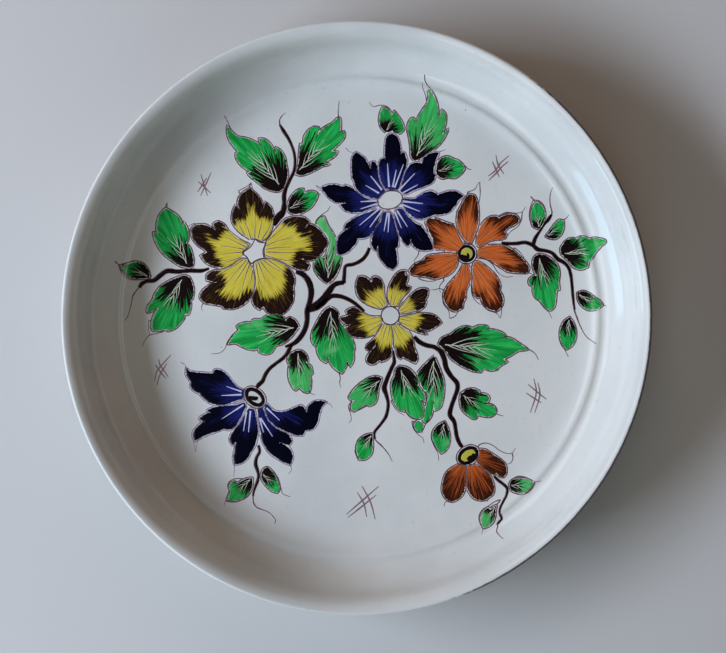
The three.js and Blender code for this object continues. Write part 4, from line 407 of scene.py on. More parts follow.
# Scratched tails that run on from the tips of petals, leaves and stems.
TAILS = {
    "yellow_bloom": [
        [[-58.5, 62.5], [-54, 65.2], [-52.3, 66.8]], [[-52.3, 66.8], [-51.5, 64]],
        [[-77, 6], [-76.8, 4]], [[-80.6, 47], [-84, 45.5]],
    ],
    "blue_bloom": [
        [[-5.3, 83.5], [-3.5, 81.5], [-1, 81]], [[-20, 65.2], [-18, 62.5]], [[40, 80.7], [43.5, 82]],
    ],
    "orange_bloom": [
        [[54, 61], [57.5, 62.5], [59.5, 66]], [[60, 66], [60.2, 60], [59.5, 55]],
        [[69, 49.5], [73, 51.2], [78, 50.8], [80.5, 51.5], [82, 53.8]],
        [[80.5, 51.5], [80, 47.5], [78.5, 44.5], [75, 42], [73.5, 40], [72.5, 38]],
        [[76.5, 34], [79.5, 31.8], [81.5, 29]],
        [[60, 29.5], [63, 28.6], [66, 26.3], [69, 22], [72.5, 20], [76, 20.3]], [[83, 22], [86, 21.2]],
        [[70.8, 7], [70.5, 3], [70, 0]], [[56, 16], [56.5, 11], [58.5, 8], [60.5, 6.5]],
        [[61, 8], [64, 4], [68, 2.5], [70, 0]], [[42, 11], [42.5, 7], [45, 3.5], [45.3, 0]],
        [[45.5, 0], [48, 1], [50, 4]], [[42.7, 18.5], [41, 16.5], [40.5, 14.5], [41, 12.5]],
        [[40.5, 14.5], [38.5, 14], [35.5, 13.8]], [[30, 30.5], [28.5, 28.5], [28.2, 26]],
        [[30.5, 19.5], [34, 18.2], [38, 18.2], [41, 19.5]],
    ],
    "yellow_posy": [],
    "blue_bell": [
        [[-87.3, -21.6], [-85.3, -23.2], [-85, -25]], [[-81.3, -60], [-80, -66]],
        [[-79, -60], [-80, -66]], [[-60.7, -72], [-60.9, -78]],
        [[-33, -72], [-32, -74], [-33.7, -76.5]], [[-15.2, -41], [-13, -42], [-11.7, -44]],
    ],
    "orange_bell": [
        [[59.5, -61.5], [62.5, -60.3], [66, -61.2], [69.5, -63.8], [73, -65.2], [75.5, -65],
         [77.3, -62.7]], [[75.7, -65.2], [76, -67.5], [75, -69.7], [72.8, -70.5]],
        [[45, -88.3], [43.3, -89.3], [42.7, -91.3]], [[62.5, -88], [64, -88.5]],
    ],
    "stems": [
        [[-38, 95.3], [-38, 97.5], [-36.8, 99.5], [-35, 101]],
        [[-109, 15], [-111.5, 11.5], [-112.7, 6], [-114, 1.5], [-115.3, -1]],
        [[9.9, -59.9], [12.8, -62.6], [15.8, -66.3], [17.6, -69.7]],
        [[105.3, 4], [106.6, 0.4], [108.6, -4.6], [111.3, -9], [115.8, -12.3]],
        [[94.7, 51], [93.8, 54.9], [93.8, 59.3], [94.9, 62.9]],
        [[68.8, -99.8], [68.2, -102.5], [69.5, -104.2], [71.5, -105.7]],
        [[-51.2, -88.8], [-50.9, -90.9], [-49.4, -92.9], [-46.5, -94.1], [-43.5, -95.3], [-41.2, -97.4],
         [-40, -99.4], [-40.6, -100.9]],
    ],
    "leaves": [
        [[-65.3, 99.8], [-63.5, 96.5], [-62, 93]], [[-9, 98], [-9, 102], [-8.5, 106.5]],
        [[-19.5, 61.5], [-17.5, 60.5]],
        [[17.5, 100], [15.5, 102.8], [13, 103.9], [10.5, 103.8], [8.5, 103.2], [7, 104.3],
         [6.2, 105.8]],
        [[33.5, 118], [33.5, 115.5], [35, 112.8], [37.5, 110], [39.5, 106], [40.5, 101.5]],
        [[34.3, 105], [33.7, 108.5], [32.6, 111.5], [32.2, 114.5]], [[53, 74], [54, 72.7], [56, 72]],
        [[-94.3, 57.3], [-94.4, 55.3]], [[-103.5, -1], [-103.8, -5], [-103.3, -8]],
        [[-96, -6.3], [-100, -7.5], [-103.3, -8.3], [-105.5, -10.5], [-107, -14]],
        [[-120, 28.5], [-118.5, 26.8], [-114, 28], [-110, 28.7], [-106, 27.5], [-103.3, 24],
         [-102.2, 20.5]], [[-118.5, 26.8], [-117, 22.5], [-113.5, 19.5], [-108, 19]],
        [[-19.8, 46.5], [-18.5, 49.5], [-16, 51.5], [-14, 53], [-13, 55]],
        [[-61.5, -8], [-64, -11.5], [-65.5, -15], [-68, -17], [-72, -17.5]],
        [[-8.5, -27], [-8, -29], [-8.3, -31.5], [-7.8, -33.8]],
        [[-23.5, -35.5], [-22.5, -36.7], [-20.5, -37.3]],
        [[-2.5, -40.5], [-3.9, -43], [-3, -46.5], [-2.6, -49.5], [-3.5, -51]],
        [[5.5, -42.5], [1, -44.8], [-1.5, -46.3]], [[-0.8, -64.5], [0, -67.5], [0.8, -70]],
        [[17, -40], [19.5, -44.5], [23.5, -47.3]], [[23.8, -45], [26.5, -48.3], [30, -49.5]],
        [[27.3, -50], [27.7, -53], [30, -56.3], [32.5, -58.3], [33, -60.5]],
        [[35.5, -49], [32.5, -54], [32, -56]], [[36.5, -58], [38, -62], [39.7, -65.5], [40.2, -69]],
        [[82.8, -14.5], [85, -15.7], [87, -17.5], [88.2, -20]],
        [[68, -46], [69.5, -46.7], [71.5, -47.2]],
        [[75.5, -77.8], [78, -76.3], [81, -76.3], [84.5, -77.5], [86.7, -78.6], [89.5, -78.2]],
        [[86.7, -78.6], [85.5, -81.5], [83, -84], [79.5, -85], [75, -83.8]],
        [[70, -87.7], [67.5, -88.5], [64.5, -90.5], [61, -92.8], [59.5, -96.5], [60.3, -99.5],
         [61.5, -101.5], [61, -104.3]],
        [[84.5, 58.8], [86, 57.2], [88.5, 56.7], [90.8, 54.5], [92, 51]],
        [[86, 57.2], [84.2, 53], [83.8, 48.5], [85, 44.5]], [[100.2, 47.5], [101.3, 48], [102.8, 49.8]],
        [[88, 9], [91, 5], [93.5, 2.5], [94.5, 0]], [[118, 7], [120.5, 5.8]],
        [[98, -9], [99, -12.5], [101, -15.5], [102.5, -18.5]],
        [[-56, -79], [-60, -79], [-63.3, -80.5], [-64.3, -83]],
        [[-62.5, -85], [-64.5, -88], [-65.5, -92]],
        [[-64.8, -90], [-61, -90.5], [-57.5, -89.8], [-54, -87]],
        [[-41, -75], [-38.5, -79], [-37.3, -83.5], [-36.5, -86], [-34.5, -87], [-32.8, -87.5]],
    ],
}

# Pale rays brushed out over the blue petals: where the bloom's end, as they all start round its
# heart, and where each of the bell's starts and ends.
BLUE_RAY_ENDS = [
    [15.2, 75.5], [19.5, 72.3], [23, 75], [4.5, 65], [7, 69.5], [2, 57], [2, 53.5], [1.5, 45.5],
    [6.5, 44.5], [13.5, 42.5], [15.5, 42], [22, 44], [25, 44.5], [32.5, 55.8], [31, 52],
    [28.5, 70.5], [30, 65],
]
BELL_RAYS = [
    [[-57, -37.5], [-67, -38]], [[-57, -36], [-64.5, -33.5]], [[-56, -42.5], [-66.8, -49.5]],
    [[-54.5, -46], [-56, -55.5]], [[-52.5, -45.5], [-53.5, -56]], [[-47.5, -49], [-41.5, -58]],
    [[-48, -49], [-46, -56]], [[-44.5, -44], [-38, -50]],
]

# Cross-hatched marks: each stroke's points are x, y and width.
MARKS = {
    "mark_north_west": [
        [[-77.3, 71.2, 0.5], [-75.8, 66, 0.9], [-74, 60.6, 0.5]],
        [[-78.7, 67.7, 0.5], [-75.7, 65, 0.9], [-72.5, 62, 0.5]],
        [[-72.3, 72, 0.5], [-74.8, 66.5, 0.9], [-77.5, 60.7, 0.5]],
        [[-74.5, 69.5, 0.5], [-76.6, 66.1, 0.9], [-79, 62.5, 0.5]],
    ],
    "mark_north_east": [
        [[64.1, 68.8, 0.6], [67.5, 71.5, 0.9], [70, 75, 0.8], [74, 78.5, 0.5]],
        [[64.3, 66.7, 0.5], [68.2, 70.5, 1], [70.7, 73.3, 0.8], [73.8, 75.8, 0.6]],
        [[67.8, 79, 0.5], [68.2, 76.7, 0.7], [69, 74, 1], [71.7, 69.7, 0.5]],
        [[66.1, 75.8, 0.5], [67.5, 72.7, 1], [69.5, 68.2, 0.5]],
    ],
    "mark_west": [
        [[-92.5, -18, 0.5], [-97.5, -23.5, 0.9], [-99.5, -26, 0.8], [-100.8, -31, 0.5]],
        [[-94.5, -22.2, 0.5], [-97, -26, 0.9], [-98.5, -29, 0.8], [-99.5, -33, 0.5]],
        [[-100.3, -23, 0.7], [-98.8, -25, 0.9], [-97, -27.5, 0.9], [-94.8, -29.7, 0.5]],
        [[-98.8, -20, 0.5], [-97.8, -23.5, 0.9], [-96.2, -25.5, 0.9], [-93.8, -29, 0.5]],
    ],
    "mark_east": [
        [[83.3, -31.8, 0.5], [87.7, -35.5, 0.9], [92, -39, 0.5]],
        [[82.4, -36, 0.5], [86, -38.4, 0.9], [89.6, -40.7, 0.5]],
        [[86, -29, 0.5], [87.2, -35.5, 0.9], [84.4, -45.5, 0.5]],
        [[88, -31, 0.5], [88.9, -36.5, 0.9], [86.5, -45.5, 0.5]],
    ],
    "mark_south": [
        [[10.8, -81.9, 0.5], [3, -88.8, 1], [-5, -95.8, 0.5]],
        [[9.6, -86.2, 0.5], [2.7, -91.8, 1], [-4.2, -97.3, 0.5]],
        [[2.7, -81.9, 0.5], [6.8, -89.5, 1], [9.2, -98, 0.5]],
        [[0.4, -85, 0.5], [3.6, -90.5, 1], [5, -96.9, 0.5]],
    ],
}


# ---------------------------------------------------------------- curves on the plate's plan

def smooth(points, spacing):
    """Points about spacing apart along a centripetal Catmull-Rom curve through the given ones."""
    stops = [Vector(point) for point in points]
    if len(stops) < 3:
        steps = max(1, math.ceil((stops[-1] - stops[0]).length / spacing))
        return [stops[0].lerp(stops[-1], k / steps) for k in range(steps + 1)]
    ends = [2 * stops[0] - stops[1], *stops, 2 * stops[-1] - stops[-2]]
    line = []
    for p0, p1, p2, p3 in zip(ends, ends[1:], ends[2:], ends[3:]):
        t1 = math.sqrt((p1 - p0).length)
        t2 = t1 + math.sqrt((p2 - p1).length)
        t3 = t2 + math.sqrt((p3 - p2).length)
        steps = max(1, math.ceil((p2 - p1).length / spacing))
        for k in range(steps):
            t = t1 + (t2 - t1) * k / steps
            a1 = p0.lerp(p1, t / t1)
            a2 = p1.lerp(p2, (t - t1) / (t2 - t1))
            a3 = p2.lerp(p3, (t - t2) / (t3 - t2))
            b1 = a1.lerp(a2, t / t2)
            b2 = a2.lerp(a3, (t - t1) / (t3 - t1))
            line.append(b1.lerp(b2, (t - t1) / (t2 - t1)))
    line.append(stops[-1])
    return line


def outline_of(runs):
    """The closed outline through the runs: a corner where each run starts, round in between."""
    outline = []
    for run, following in zip(runs, runs[1:] + runs[:1]):
        outline += smooth([*run, following[0]], OUTLINE_STEP)[:-1]
    return outline


def oval(heart, grow=0.0, edges=72):
    """The outline of a flower's heart, grown or shrunk all round."""
    x, y, wide, high, tilt = heart
    turn = math.radians(tilt)
    ring = []
    for k in range(edges):
        angle = 2 * math.pi * k / edges
        u = (wide + grow) * math.cos(angle)
        v = (high + grow) * math.sin(angle)
        ring.append(Vector((x + u * math.cos(turn) - v * math.sin(turn),
                            y + u * math.sin(turn) + v * math.cos(turn))))
    return ring


def is_inside(point, outline):
    """Whether a point lies within a closed outline."""
    inside = False
    x, y = point
    for (x0, y0), (x1, y1) in zip(outline, outline[1:] + outline[:1]):
        if (y0 > y) != (y1 > y) and x < x0 + (x1 - x0) * (y - y0) / (y1 - y0):
            inside = not inside
    return inside


def tree_of(points):
    """A tree that finds the point nearest to a place."""
    tree = KDTree(len(points))
    for i, point in enumerate(points):
        tree.insert((point[0], point[1], 0), i)
    tree.balance()
    return tree


def away(tree, point):
    """How far a point is from the nearest one in the tree, without end if the tree is empty."""
    gap = tree.find((point[0], point[1], 0))[2]
    return math.inf if gap is None else gap


def normals_of(outline):
    """Outward unit normals of a closed outline, whichever way round it runs."""
    area = sum(a.x * b.y - b.x * a.y for a, b in zip(outline, outline[1:] + outline[:1]))
    side = 1 if area > 0 else -1
    normals = []
    for before, after in zip(outline[-1:] + outline[:-1], outline[1:] + outline[:1]):
        along = (after - before).normalized()
        normals.append(Vector((along.y, -along.x)) * side)
    return normals


def ease(value):
    """0 below 0, 1 above 1, and smooth in between."""
    value = min(max(value, 0.0), 1.0)
    return value * value * (3 - 2 * value)


# ---------------------------------------------------------------- the glazed surface

FACE_LINE = smooth(FACE, 1.2)
FACE_RADII = [point.x for point in FACE_LINE]


def surface(x, y):
    """Height of the glaze at a place on the plan, in millimetres above the table."""
    radius = min(math.hypot(x, y), FACE_RADII[-1])
    k = min(max(bisect.bisect_left(FACE_RADII, radius), 1), len(FACE_LINE) - 1)
    inner, outer = FACE_LINE[k - 1], FACE_LINE[k]
    return FLOOR + inner.y + (outer.y - inner.y) * (radius - inner.x) / (outer.x - inner.x)


# ---------------------------------------------------------------- making pieces

class Sheet:
    """Points, faces and named values being gathered for one piece, in millimetres."""

    def __init__(self):
        self.points = []
        self.faces = []
        self.values = {}

    def add(self, point, **values):
        for name in values:
            self.values.setdefault(name, [0.0] * len(self.points))
        for name, held in self.values.items():
            held.append(values.get(name, 0.0))
        self.points.append(point)
        return len(self.points) - 1

    def piece(self, name, material, slot, *replaced, smooth_angle=40):
        mesh = bpy.data.meshes.new(name)
        mesh.from_pydata([Vector(point) * MM for point in self.points], [], self.faces)
        for title, held in self.values.items():
            mesh.attributes.new(title, "FLOAT", "POINT").data.foreach_set("value", held)
        mesh.validate()
        mesh.shade_smooth()
        mesh.set_sharp_from_angle(angle=math.radians(smooth_angle))
        mesh.materials.append(material)
        made = bpy.data.objects.new(name, mesh)
        bpy.context.scene.collection.objects.link(made)
        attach(made, "root")
        if replaced:
            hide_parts(*replaced)
        return made


def lathe(profile, edges=288):
    """A closed profile of radius and height turned about the axis."""
    sheet = Sheet()
    rings = []
    for radius, height in profile:
        if radius < 1e-6:
            rings.append([sheet.add((0, 0, height))] * edges)
            continue
        turn = [2 * math.pi * k / edges for k in range(edges)]
        rings.append([sheet.add((radius * math.cos(a), radius * math.sin(a), height)) for a in turn])
    closed = profile[0][0] > 1e-6
    pairs = list(zip(rings, rings[1:] + rings[:1])) if closed else list(zip(rings, rings[1:]))
    for low, high in pairs:
        for k in range(edges):
            after = (k + 1) % edges
            corners = [low[k], low[after], high[after], high[k]]
            corners = [c for i, c in enumerate(corners) if c not in corners[:i]]
            if len(corners) > 2:
                sheet.faces.append(corners)
    return sheet


def ruffled(outline, normals, seed):
    """The outline with the small wander of a hand-brushed edge."""
    return [point + normal * RUFFLE * noise.noise((point.x * 1.3, point.y * 1.3, seed))
            for point, normal in zip(outline, normals)]


def inner_points(outline, normals, edge_tree):
    """A line of points where the rounded edge ends, and a staggered grid over the rest."""
    inner = []
    for point, normal in zip(outline, normals):
        moved = point - normal * EDGE_ROUND
        if away(edge_tree, moved) > EDGE_ROUND * 0.85 and is_inside(moved, outline):
            inner.append(moved)
    left, right = min(p.x for p in outline), max(p.x for p in outline)
    bottom, top = min(p.y for p in outline), max(p.y for p in outline)
    for row in range(1, int((top - bottom) / FILL_PITCH) + 1):
        for column in range(1, int((right - left) / FILL_PITCH) + 1):
            shift = 0.5 * (row % 2)
            spot = Vector((left + FILL_PITCH * (column - shift), bottom + FILL_PITCH * row))
            if away(edge_tree, spot) > EDGE_ROUND * 2 and is_inside(spot, outline):
                inner.append(spot)
    return inner


def rim_of(faces):
    """The edges that only one of the faces has."""
    edges = {(a, b): True for face in faces for a, b in zip(face, face[1:] + face[:1])}
    return [(a, b) for a, b in edges if (b, a) not in edges]


def fill(sheet, outline, origin, seed, measure):
    """Lays one brushed patch of paint: a thin body with a rounded edge, draped over the glaze.

    measure gives the named values of a point from its place and its arm from the origin.
    """
    normals = normals_of(outline)
    outline = ruffled(outline, normals, seed)
    edge_tree = tree_of(outline)
    inner = inner_points(outline, normals, edge_tree)
    loop = list(range(len(outline)))
    flat, _, faces, *_ = delaunay_2d_cdt(outline + inner, [], [loop], 1, 1e-4)
    tops = []
    bottoms = []
    for spot in flat:
        gap = away(edge_tree, spot)
        lift = EDGE_PAINT + PAINT * ease(gap / EDGE_ROUND)
        ground = surface(spot.x, spot.y)
        values = {**measure(spot, spot - origin), "edge": gap, "seed": seed}
        tops.append(sheet.add((spot.x, spot.y, ground + lift), **values))
        bottoms.append(sheet.add((spot.x, spot.y, ground - BURIED), **values))
    for face in faces:
        sheet.faces.append([tops[i] for i in face])
        sheet.faces.append([bottoms[i] for i in reversed(face)])
    for a, b in rim_of(faces):
        sheet.faces.append([tops[b], tops[a], bottoms[a], bottoms[b]])


def ribbon(sheet, path, widths, lift, rise, seed=0.0):
    """A drawn line: a low rounded ridge along the path, following the glaze."""
    rings = []
    travelled = 0.0
    for i, (spot, width) in enumerate(zip(path, widths)):
        before = path[max(i - 1, 0)]
        after = path[min(i + 1, len(path) - 1)]
        travelled += (spot - before).length
        along = (after - before).normalized()
        across = Vector((along.y, -along.x)) * (width / 2)
        ground = surface(spot.x, spot.y) + lift
        ring = []
        for side, height in ((-1, 0), (-0.6, rise), (0.6, rise), (1, 0), (0, -BURIED - lift)):
            place = spot + across * side
            tilt = surface(place.x, place.y) - surface(spot.x, spot.y)
            ring.append(sheet.add((place.x, place.y, ground + tilt + height),
                                  along=travelled, across=side, seed=seed))
        rings.append(ring)
    for near, far in zip(rings, rings[1:]):
        for k in range(5):
            after = (k + 1) % 5
            sheet.faces.append([near[k], far[k], far[after], near[after]])
    if rings:
        sheet.faces.append(rings[0][::-1])
        sheet.faces.append(rings[-1])


def tapered(path, width, start=1.0, end=0.25):
    """Widths along a path that thin from start to end, with the slight swell of a hand line."""
    last = max(len(path) - 1, 1)
    widths = []
    for i, spot in enumerate(path):
        share = start + (end - start) * i / last
        swell = 1 + 0.25 * noise.noise((spot.x * 0.35, spot.y * 0.35, 3.7))
        widths.append(width * share * swell)
    return widths


# ---------------------------------------------------------------- materials

class Nodes:
    """Short calls for wiring a material's nodes."""

    def __init__(self, name):
        self.material = bpy.data.materials.new(name)
        self.material.use_nodes = True
        self.tree = self.material.node_tree
        self.shader = self.tree.nodes["Principled BSDF"]

    def put(self, kind, **settings):
        node = self.tree.nodes.new("ShaderNode" + kind)
        for key, value in settings.items():
            setattr(node, key, value)
        return node

    def wire(self, value, socket):
        if isinstance(value, bpy.types.NodeSocket):
            self.tree.links.new(value, socket)
        else:
            socket.default_value = value

    def math(self, operation, first, second=0.0, third=0.0, clamp=False):
        node = self.put("Math", operation=operation, use_clamp=clamp)
        for value, socket in zip((first, second, third), node.inputs):
            self.wire(value, socket)
        return node.outputs[0]

    def swayed(self, value, wave, reach):
        """The value moved up and down by a noise, over reach in all."""
        return self.math("ADD", value, self.math("MULTIPLY", self.math("SUBTRACT", wave, 0.5), reach))

    def value(self, name):
        return self.put("Attribute", attribute_name=name).outputs["Fac"]

    def place(self):
        return self.put("TexCoord").outputs["Object"]

    def vector(self, x, y, z):
        node = self.put("CombineXYZ")
        for value, socket in zip((x, y, z), node.inputs):
            self.wire(value, socket)
        return node.outputs[0]

    def noise(self, vector, scale, detail=3.0, roughness=0.55):
        node = self.put("TexNoise")
        self.wire(vector, node.inputs["Vector"])
        node.inputs["Scale"].default_value = scale
        node.inputs["Detail"].default_value = detail
        node.inputs["Roughness"].default_value = roughness
        return node.outputs["Fac"]

    def mix(self, share, first, second):
        node = self.put("Mix", data_type="RGBA")
        self.wire(share, node.inputs[0])
        self.wire(first, node.inputs[6])
        self.wire(second, node.inputs[7])
        return node.outputs[2]

    def tint(self, colour, share, strength, other):
        """The colour with some of another over it, strongest where share is 1."""
        return self.mix(self.math("MULTIPLY", share, strength), colour, other)

    def between(self, value, low, high):
        """0 where value is under low, 1 over high, and smooth in between."""
        node = self.put("MapRange", interpolation_type="SMOOTHSTEP")
        self.wire(value, node.inputs["Value"])
        node.inputs["From Min"].default_value = low
        node.inputs["From Max"].default_value = high
        return node.outputs[0]

    def bump(self, height, strength, distance):
        node = self.put("Bump")
        node.inputs["Strength"].default_value = strength
        node.inputs["Distance"].default_value = distance
        self.wire(height, node.inputs["Height"])
        return node.outputs[0]

    def finish(self, colour, roughness, normal=None, coat=0.0):
        self.wire(colour, self.shader.inputs["Base Color"])
        self.wire(roughness, self.shader.inputs["Roughness"])
        if normal is not None:
            self.wire(normal, self.shader.inputs["Normal"])
        self.shader.inputs["Coat Weight"].default_value = coat
        self.shader.inputs["Coat Roughness"].default_value = 0.06
        return self.material


def rgb(red, green, blue):
    """A colour given as the eye reads it, 0 to 255, turned into the renderer's linear light."""
    shares = [level / 255 for level in (red, green, blue)]
    linear = [((s + 0.055) / 1.055) ** 2.4 if s > 0.0404 else s / 12.92 for s in shares]
    return (*linear, 1)


def glaze_material():
    """Pale grey glaze with faint clouds, specks and pits, and painted shade along one side of the lip."""
    n = Nodes("grey_glaze")
    place = n.place()
    clouds = n.noise(place, 14, 4)
    grain = n.noise(place, 420, 3)
    colour = n.mix(n.between(clouds, 0.3, 0.7), rgb(206, 205, 200), rgb(222, 220, 214))
    colour = n.tint(colour, n.between(grain, 0.62, 0.75), 0.35, rgb(188, 184, 176))
    pits = n.put("TexVoronoi", feature="F1")
    n.wire(place, pits.inputs["Vector"])
    pits.inputs["Scale"].default_value = 95
    pit_here = n.between(n.noise(place, 33, 2), 0.60, 0.64)
    near_pit = n.math("SUBTRACT", 1.0, n.between(pits.outputs["Distance"], 0.02, 0.05))
    pit = n.math("MULTIPLY", near_pit, pit_here)
    colour = n.tint(colour, pit, 0.75, rgb(92, 80, 72))
    # Painted shade: a dark mauve-brown band with a ragged edge along the lip's outer edge, on the side
    # away from the lamps.
    ragged_shade = n.swayed(n.value("lip"), n.noise(place, 260, 4), 0.9)
    colour = n.tint(colour, n.between(ragged_shade, 0.35, 0.75), 0.85, rgb(66, 48, 50))
    relief = n.math("ADD", n.noise(place, 38, 2), n.math("MULTIPLY", grain, 0.05))
    relief = n.math("SUBTRACT", relief, n.math("MULTIPLY", pit, 0.6))
    return n.finish(colour, 0.09, n.bump(relief, 0.35, 0.0006), coat=0.3)


def clay_material():
    """Dull sandy clay, as it shows on the unglazed foot."""
    n = Nodes("bare_clay")
    place = n.place()
    colour = n.mix(n.noise(place, 60, 5), rgb(176, 142, 112), rgb(214, 190, 162))
    return n.finish(colour, 0.85, n.bump(n.noise(place, 700, 4), 0.6, 0.0003))


def streaks(n, per_radian, stretch):
    """Brush hairs: noise that is fine around the origin and long outwards from it."""
    fan = n.math("MULTIPLY", n.value("fan"), per_radian)
    out = n.math("MULTIPLY", n.value("rad"), stretch)
    return n.noise(n.vector(fan, out, n.value("seed")), 1.0, 3, 0.6)


def outlined(n, colour, dark):
    """Paint gathers in a thin darker line along the edge of each fill."""
    rim = n.math("SUBTRACT", 1.0, n.between(n.value("edge"), 0.08, EDGE_ROUND))
    return n.tint(colour, rim, 0.7, dark)


def petal_material(name, body, pale, dark, deep, reach, spread, soft, hairy, hair=24.0):
    """Petal paint: streaky body colour and a darker tip that is feathered back in fine hairs.

    reach is how far the dark tip comes in from the petal's end, spread how unevenly, soft how
    wide its fading is, hairy how strong the brush hairs show, and hair how many there are.
    """
    n = Nodes(name)
    broad = streaks(n, hair * 0.3, 0.03)
    fine = streaks(n, hair * 0.8, 0.05)
    hairs = streaks(n, hair * 1.7, 0.09)
    depth = n.swayed(reach, broad, spread)
    depth = n.swayed(depth, fine, spread * 1.2)
    depth = n.swayed(depth, hairs, spread * 3)
    margin = n.math("SUBTRACT", depth, n.value("tip"))
    colour = n.mix(n.between(fine, 0.3, 0.72), body, pale)
    colour = n.tint(colour, n.between(margin, -soft, 0.2), 0.6, deep)
    colour = n.mix(n.between(margin, -soft * 0.1, soft * 0.4), colour, dark)
    colour = n.tint(colour, n.between(hairs, 0.56, 0.7), hairy, deep)
    return n.finish(outlined(n, colour, dark), 0.14, n.bump(fine, 0.25, 0.0001), coat=0.3)


def leaf_material():
    """Green brushed out from the leaf's base, nearly black there, thinner and paler in places."""
    n = Nodes("leaf_green")
    fine = streaks(n, 16.0, 0.05)
    hairs = streaks(n, 44.0, 0.1)
    wash = n.math("MULTIPLY", n.between(n.noise(n.place(), 110, 3), 0.55, 0.8), 0.6)
    colour = n.mix(n.between(fine, 0.35, 0.7), rgb(22, 142, 58), rgb(50, 194, 94))
    colour = n.mix(n.math("ADD", n.value("thin"), wash, clamp=True), colour, rgb(130, 206, 132))
    depth = n.swayed(n.value("shade"), fine, 1.1)
    depth = n.swayed(depth, hairs, 0.7)
    margin = n.math("SUBTRACT", depth, n.value("tip"))
    colour = n.mix(n.between(margin, -0.03, 0.06), colour, rgb(24, 14, 14))
    colour = outlined(n, colour, rgb(16, 44, 26))
    return n.finish(colour, 0.14, n.bump(fine, 0.25, 0.0001), coat=0.3)


def drift(n):
    """Slow changes along a drawn line."""
    along = n.math("MULTIPLY", n.value("along"), 0.5)
    return n.noise(n.vector(along, n.value("across"), n.value("seed")), 1.0, 3)


def line_material(name, colour, other):
    """One stroke of paint that drifts between two colours."""
    n = Nodes(name)
    wave = drift(n)
    return n.finish(n.mix(wave, colour, other), 0.16, n.bump(wave, 0.1, 0.0001))


def scratch_material(name, dark, light, bare):
    """A line down the middle of the ribbon, and the paler bare edges it was scratched into."""
    n = Nodes(name)
    wave = drift(n)
    across = n.swayed(n.math("ABSOLUTE", n.value("across")), wave, 0.4)
    colour = n.mix(n.between(across, 0.52, 0.72), n.mix(wave, dark, light), bare)
    return n.finish(colour, 0.25, n.bump(wave, 0.2, 0.0001), coat=0.2)


GLAZE_SKIN = glaze_material()
CLAY = clay_material()
PETAL_PAINT = {
    "yellow": petal_material("yellow_paint", rgb(206, 184, 54), rgb(228, 208, 82), rgb(34, 20, 16),
                             rgb(116, 82, 24), 4.8, 2.9, 1.4, 0.6, 34),
    "navy": petal_material("navy_paint", rgb(15, 18, 66), rgb(38, 46, 120), rgb(7, 7, 22),
                           rgb(9, 10, 40), 4.6, 3.6, 4.0, 0.4),
    "orange": petal_material("orange_paint", rgb(200, 88, 34), rgb(226, 122, 62), rgb(58, 28, 16),
                             rgb(126, 48, 18), 3.0, 5.4, 3.0, 0.75, 30),
}
LEAF_PAINT = leaf_material()
DARK_PAINT = line_material("dark_paint", rgb(14, 8, 9), rgb(34, 20, 20))
SCRATCH = scratch_material(
    "scratched_line", rgb(80, 56, 62), rgb(124, 98, 104), rgb(232, 222, 220))
PALE_SCRATCH = scratch_material(
    "scratched_through_blue", rgb(106, 86, 102), rgb(176, 160, 178), rgb(234, 228, 232))
YELLOW_VEIN = scratch_material(
    "vein_on_yellow", rgb(84, 58, 42), rgb(120, 90, 58), rgb(232, 218, 150))
ORANGE_VEIN = scratch_material(
    "vein_on_orange", rgb(84, 34, 18), rgb(132, 60, 30), rgb(228, 136, 80))
MAUVE = line_material("mauve_paint", rgb(112, 78, 84), rgb(158, 124, 130))
LILAC = line_material("lilac_paint", rgb(214, 212, 226), rgb(176, 174, 204))
VEIN = line_material("leaf_vein", rgb(214, 208, 196), rgb(176, 190, 158))
YOLK = line_material("heart_yellow", rgb(206, 198, 84), rgb(176, 166, 52))


# ---------------------------------------------------------------- the thrown body and its glaze

def inset(line, distance):
    """A profile line moved to the right of its direction of travel."""
    moved = []
    for i, point in enumerate(line):
        along = (line[min(i + 1, len(line) - 1)] - line[max(i - 1, 0)]).normalized()
        across = Vector((along.y, -along.x)) * distance
        moved.append(Vector((max(point.x + across.x, 0), point.y + across.y)))
    return moved


def skin(line, depth=GLAZE * 0.8):
    """A closed coat of glaze: its outer line, then its inner line back to the start."""
    return [(p.x, FLOOR + p.y) for p in line + inset(line, depth)[::-1]]


# Painted shade along the lip's outer edge, on the side away from the lamps: the middle of that side in
# degrees round from +x, how far it reaches either way and over how much of that it fades, and the
# radius where it starts.
SHADED_SIDE = -8
SHADED_REACH = 75
SHADED_FADE = 30
LIP_EDGE = 138.45


def mark_lip_shade(sheet):
    """Notes how much painted shade each point gets: 0 but for the lip's outer edge on one side."""
    # Each point's share of the painted shade on the lip.
    thin = []
    for x, y, height in sheet.points:
        off_middle = abs(math.degrees(math.atan2(y, x)) - SHADED_SIDE)
        side = ease((SHADED_REACH - off_middle) / SHADED_FADE)
        outward = ease((math.hypot(x, y) - LIP_EDGE) / 0.4)
        thin.append(outward * side if height > RIM - 5 else 0.0)
    sheet.values["lip"] = thin


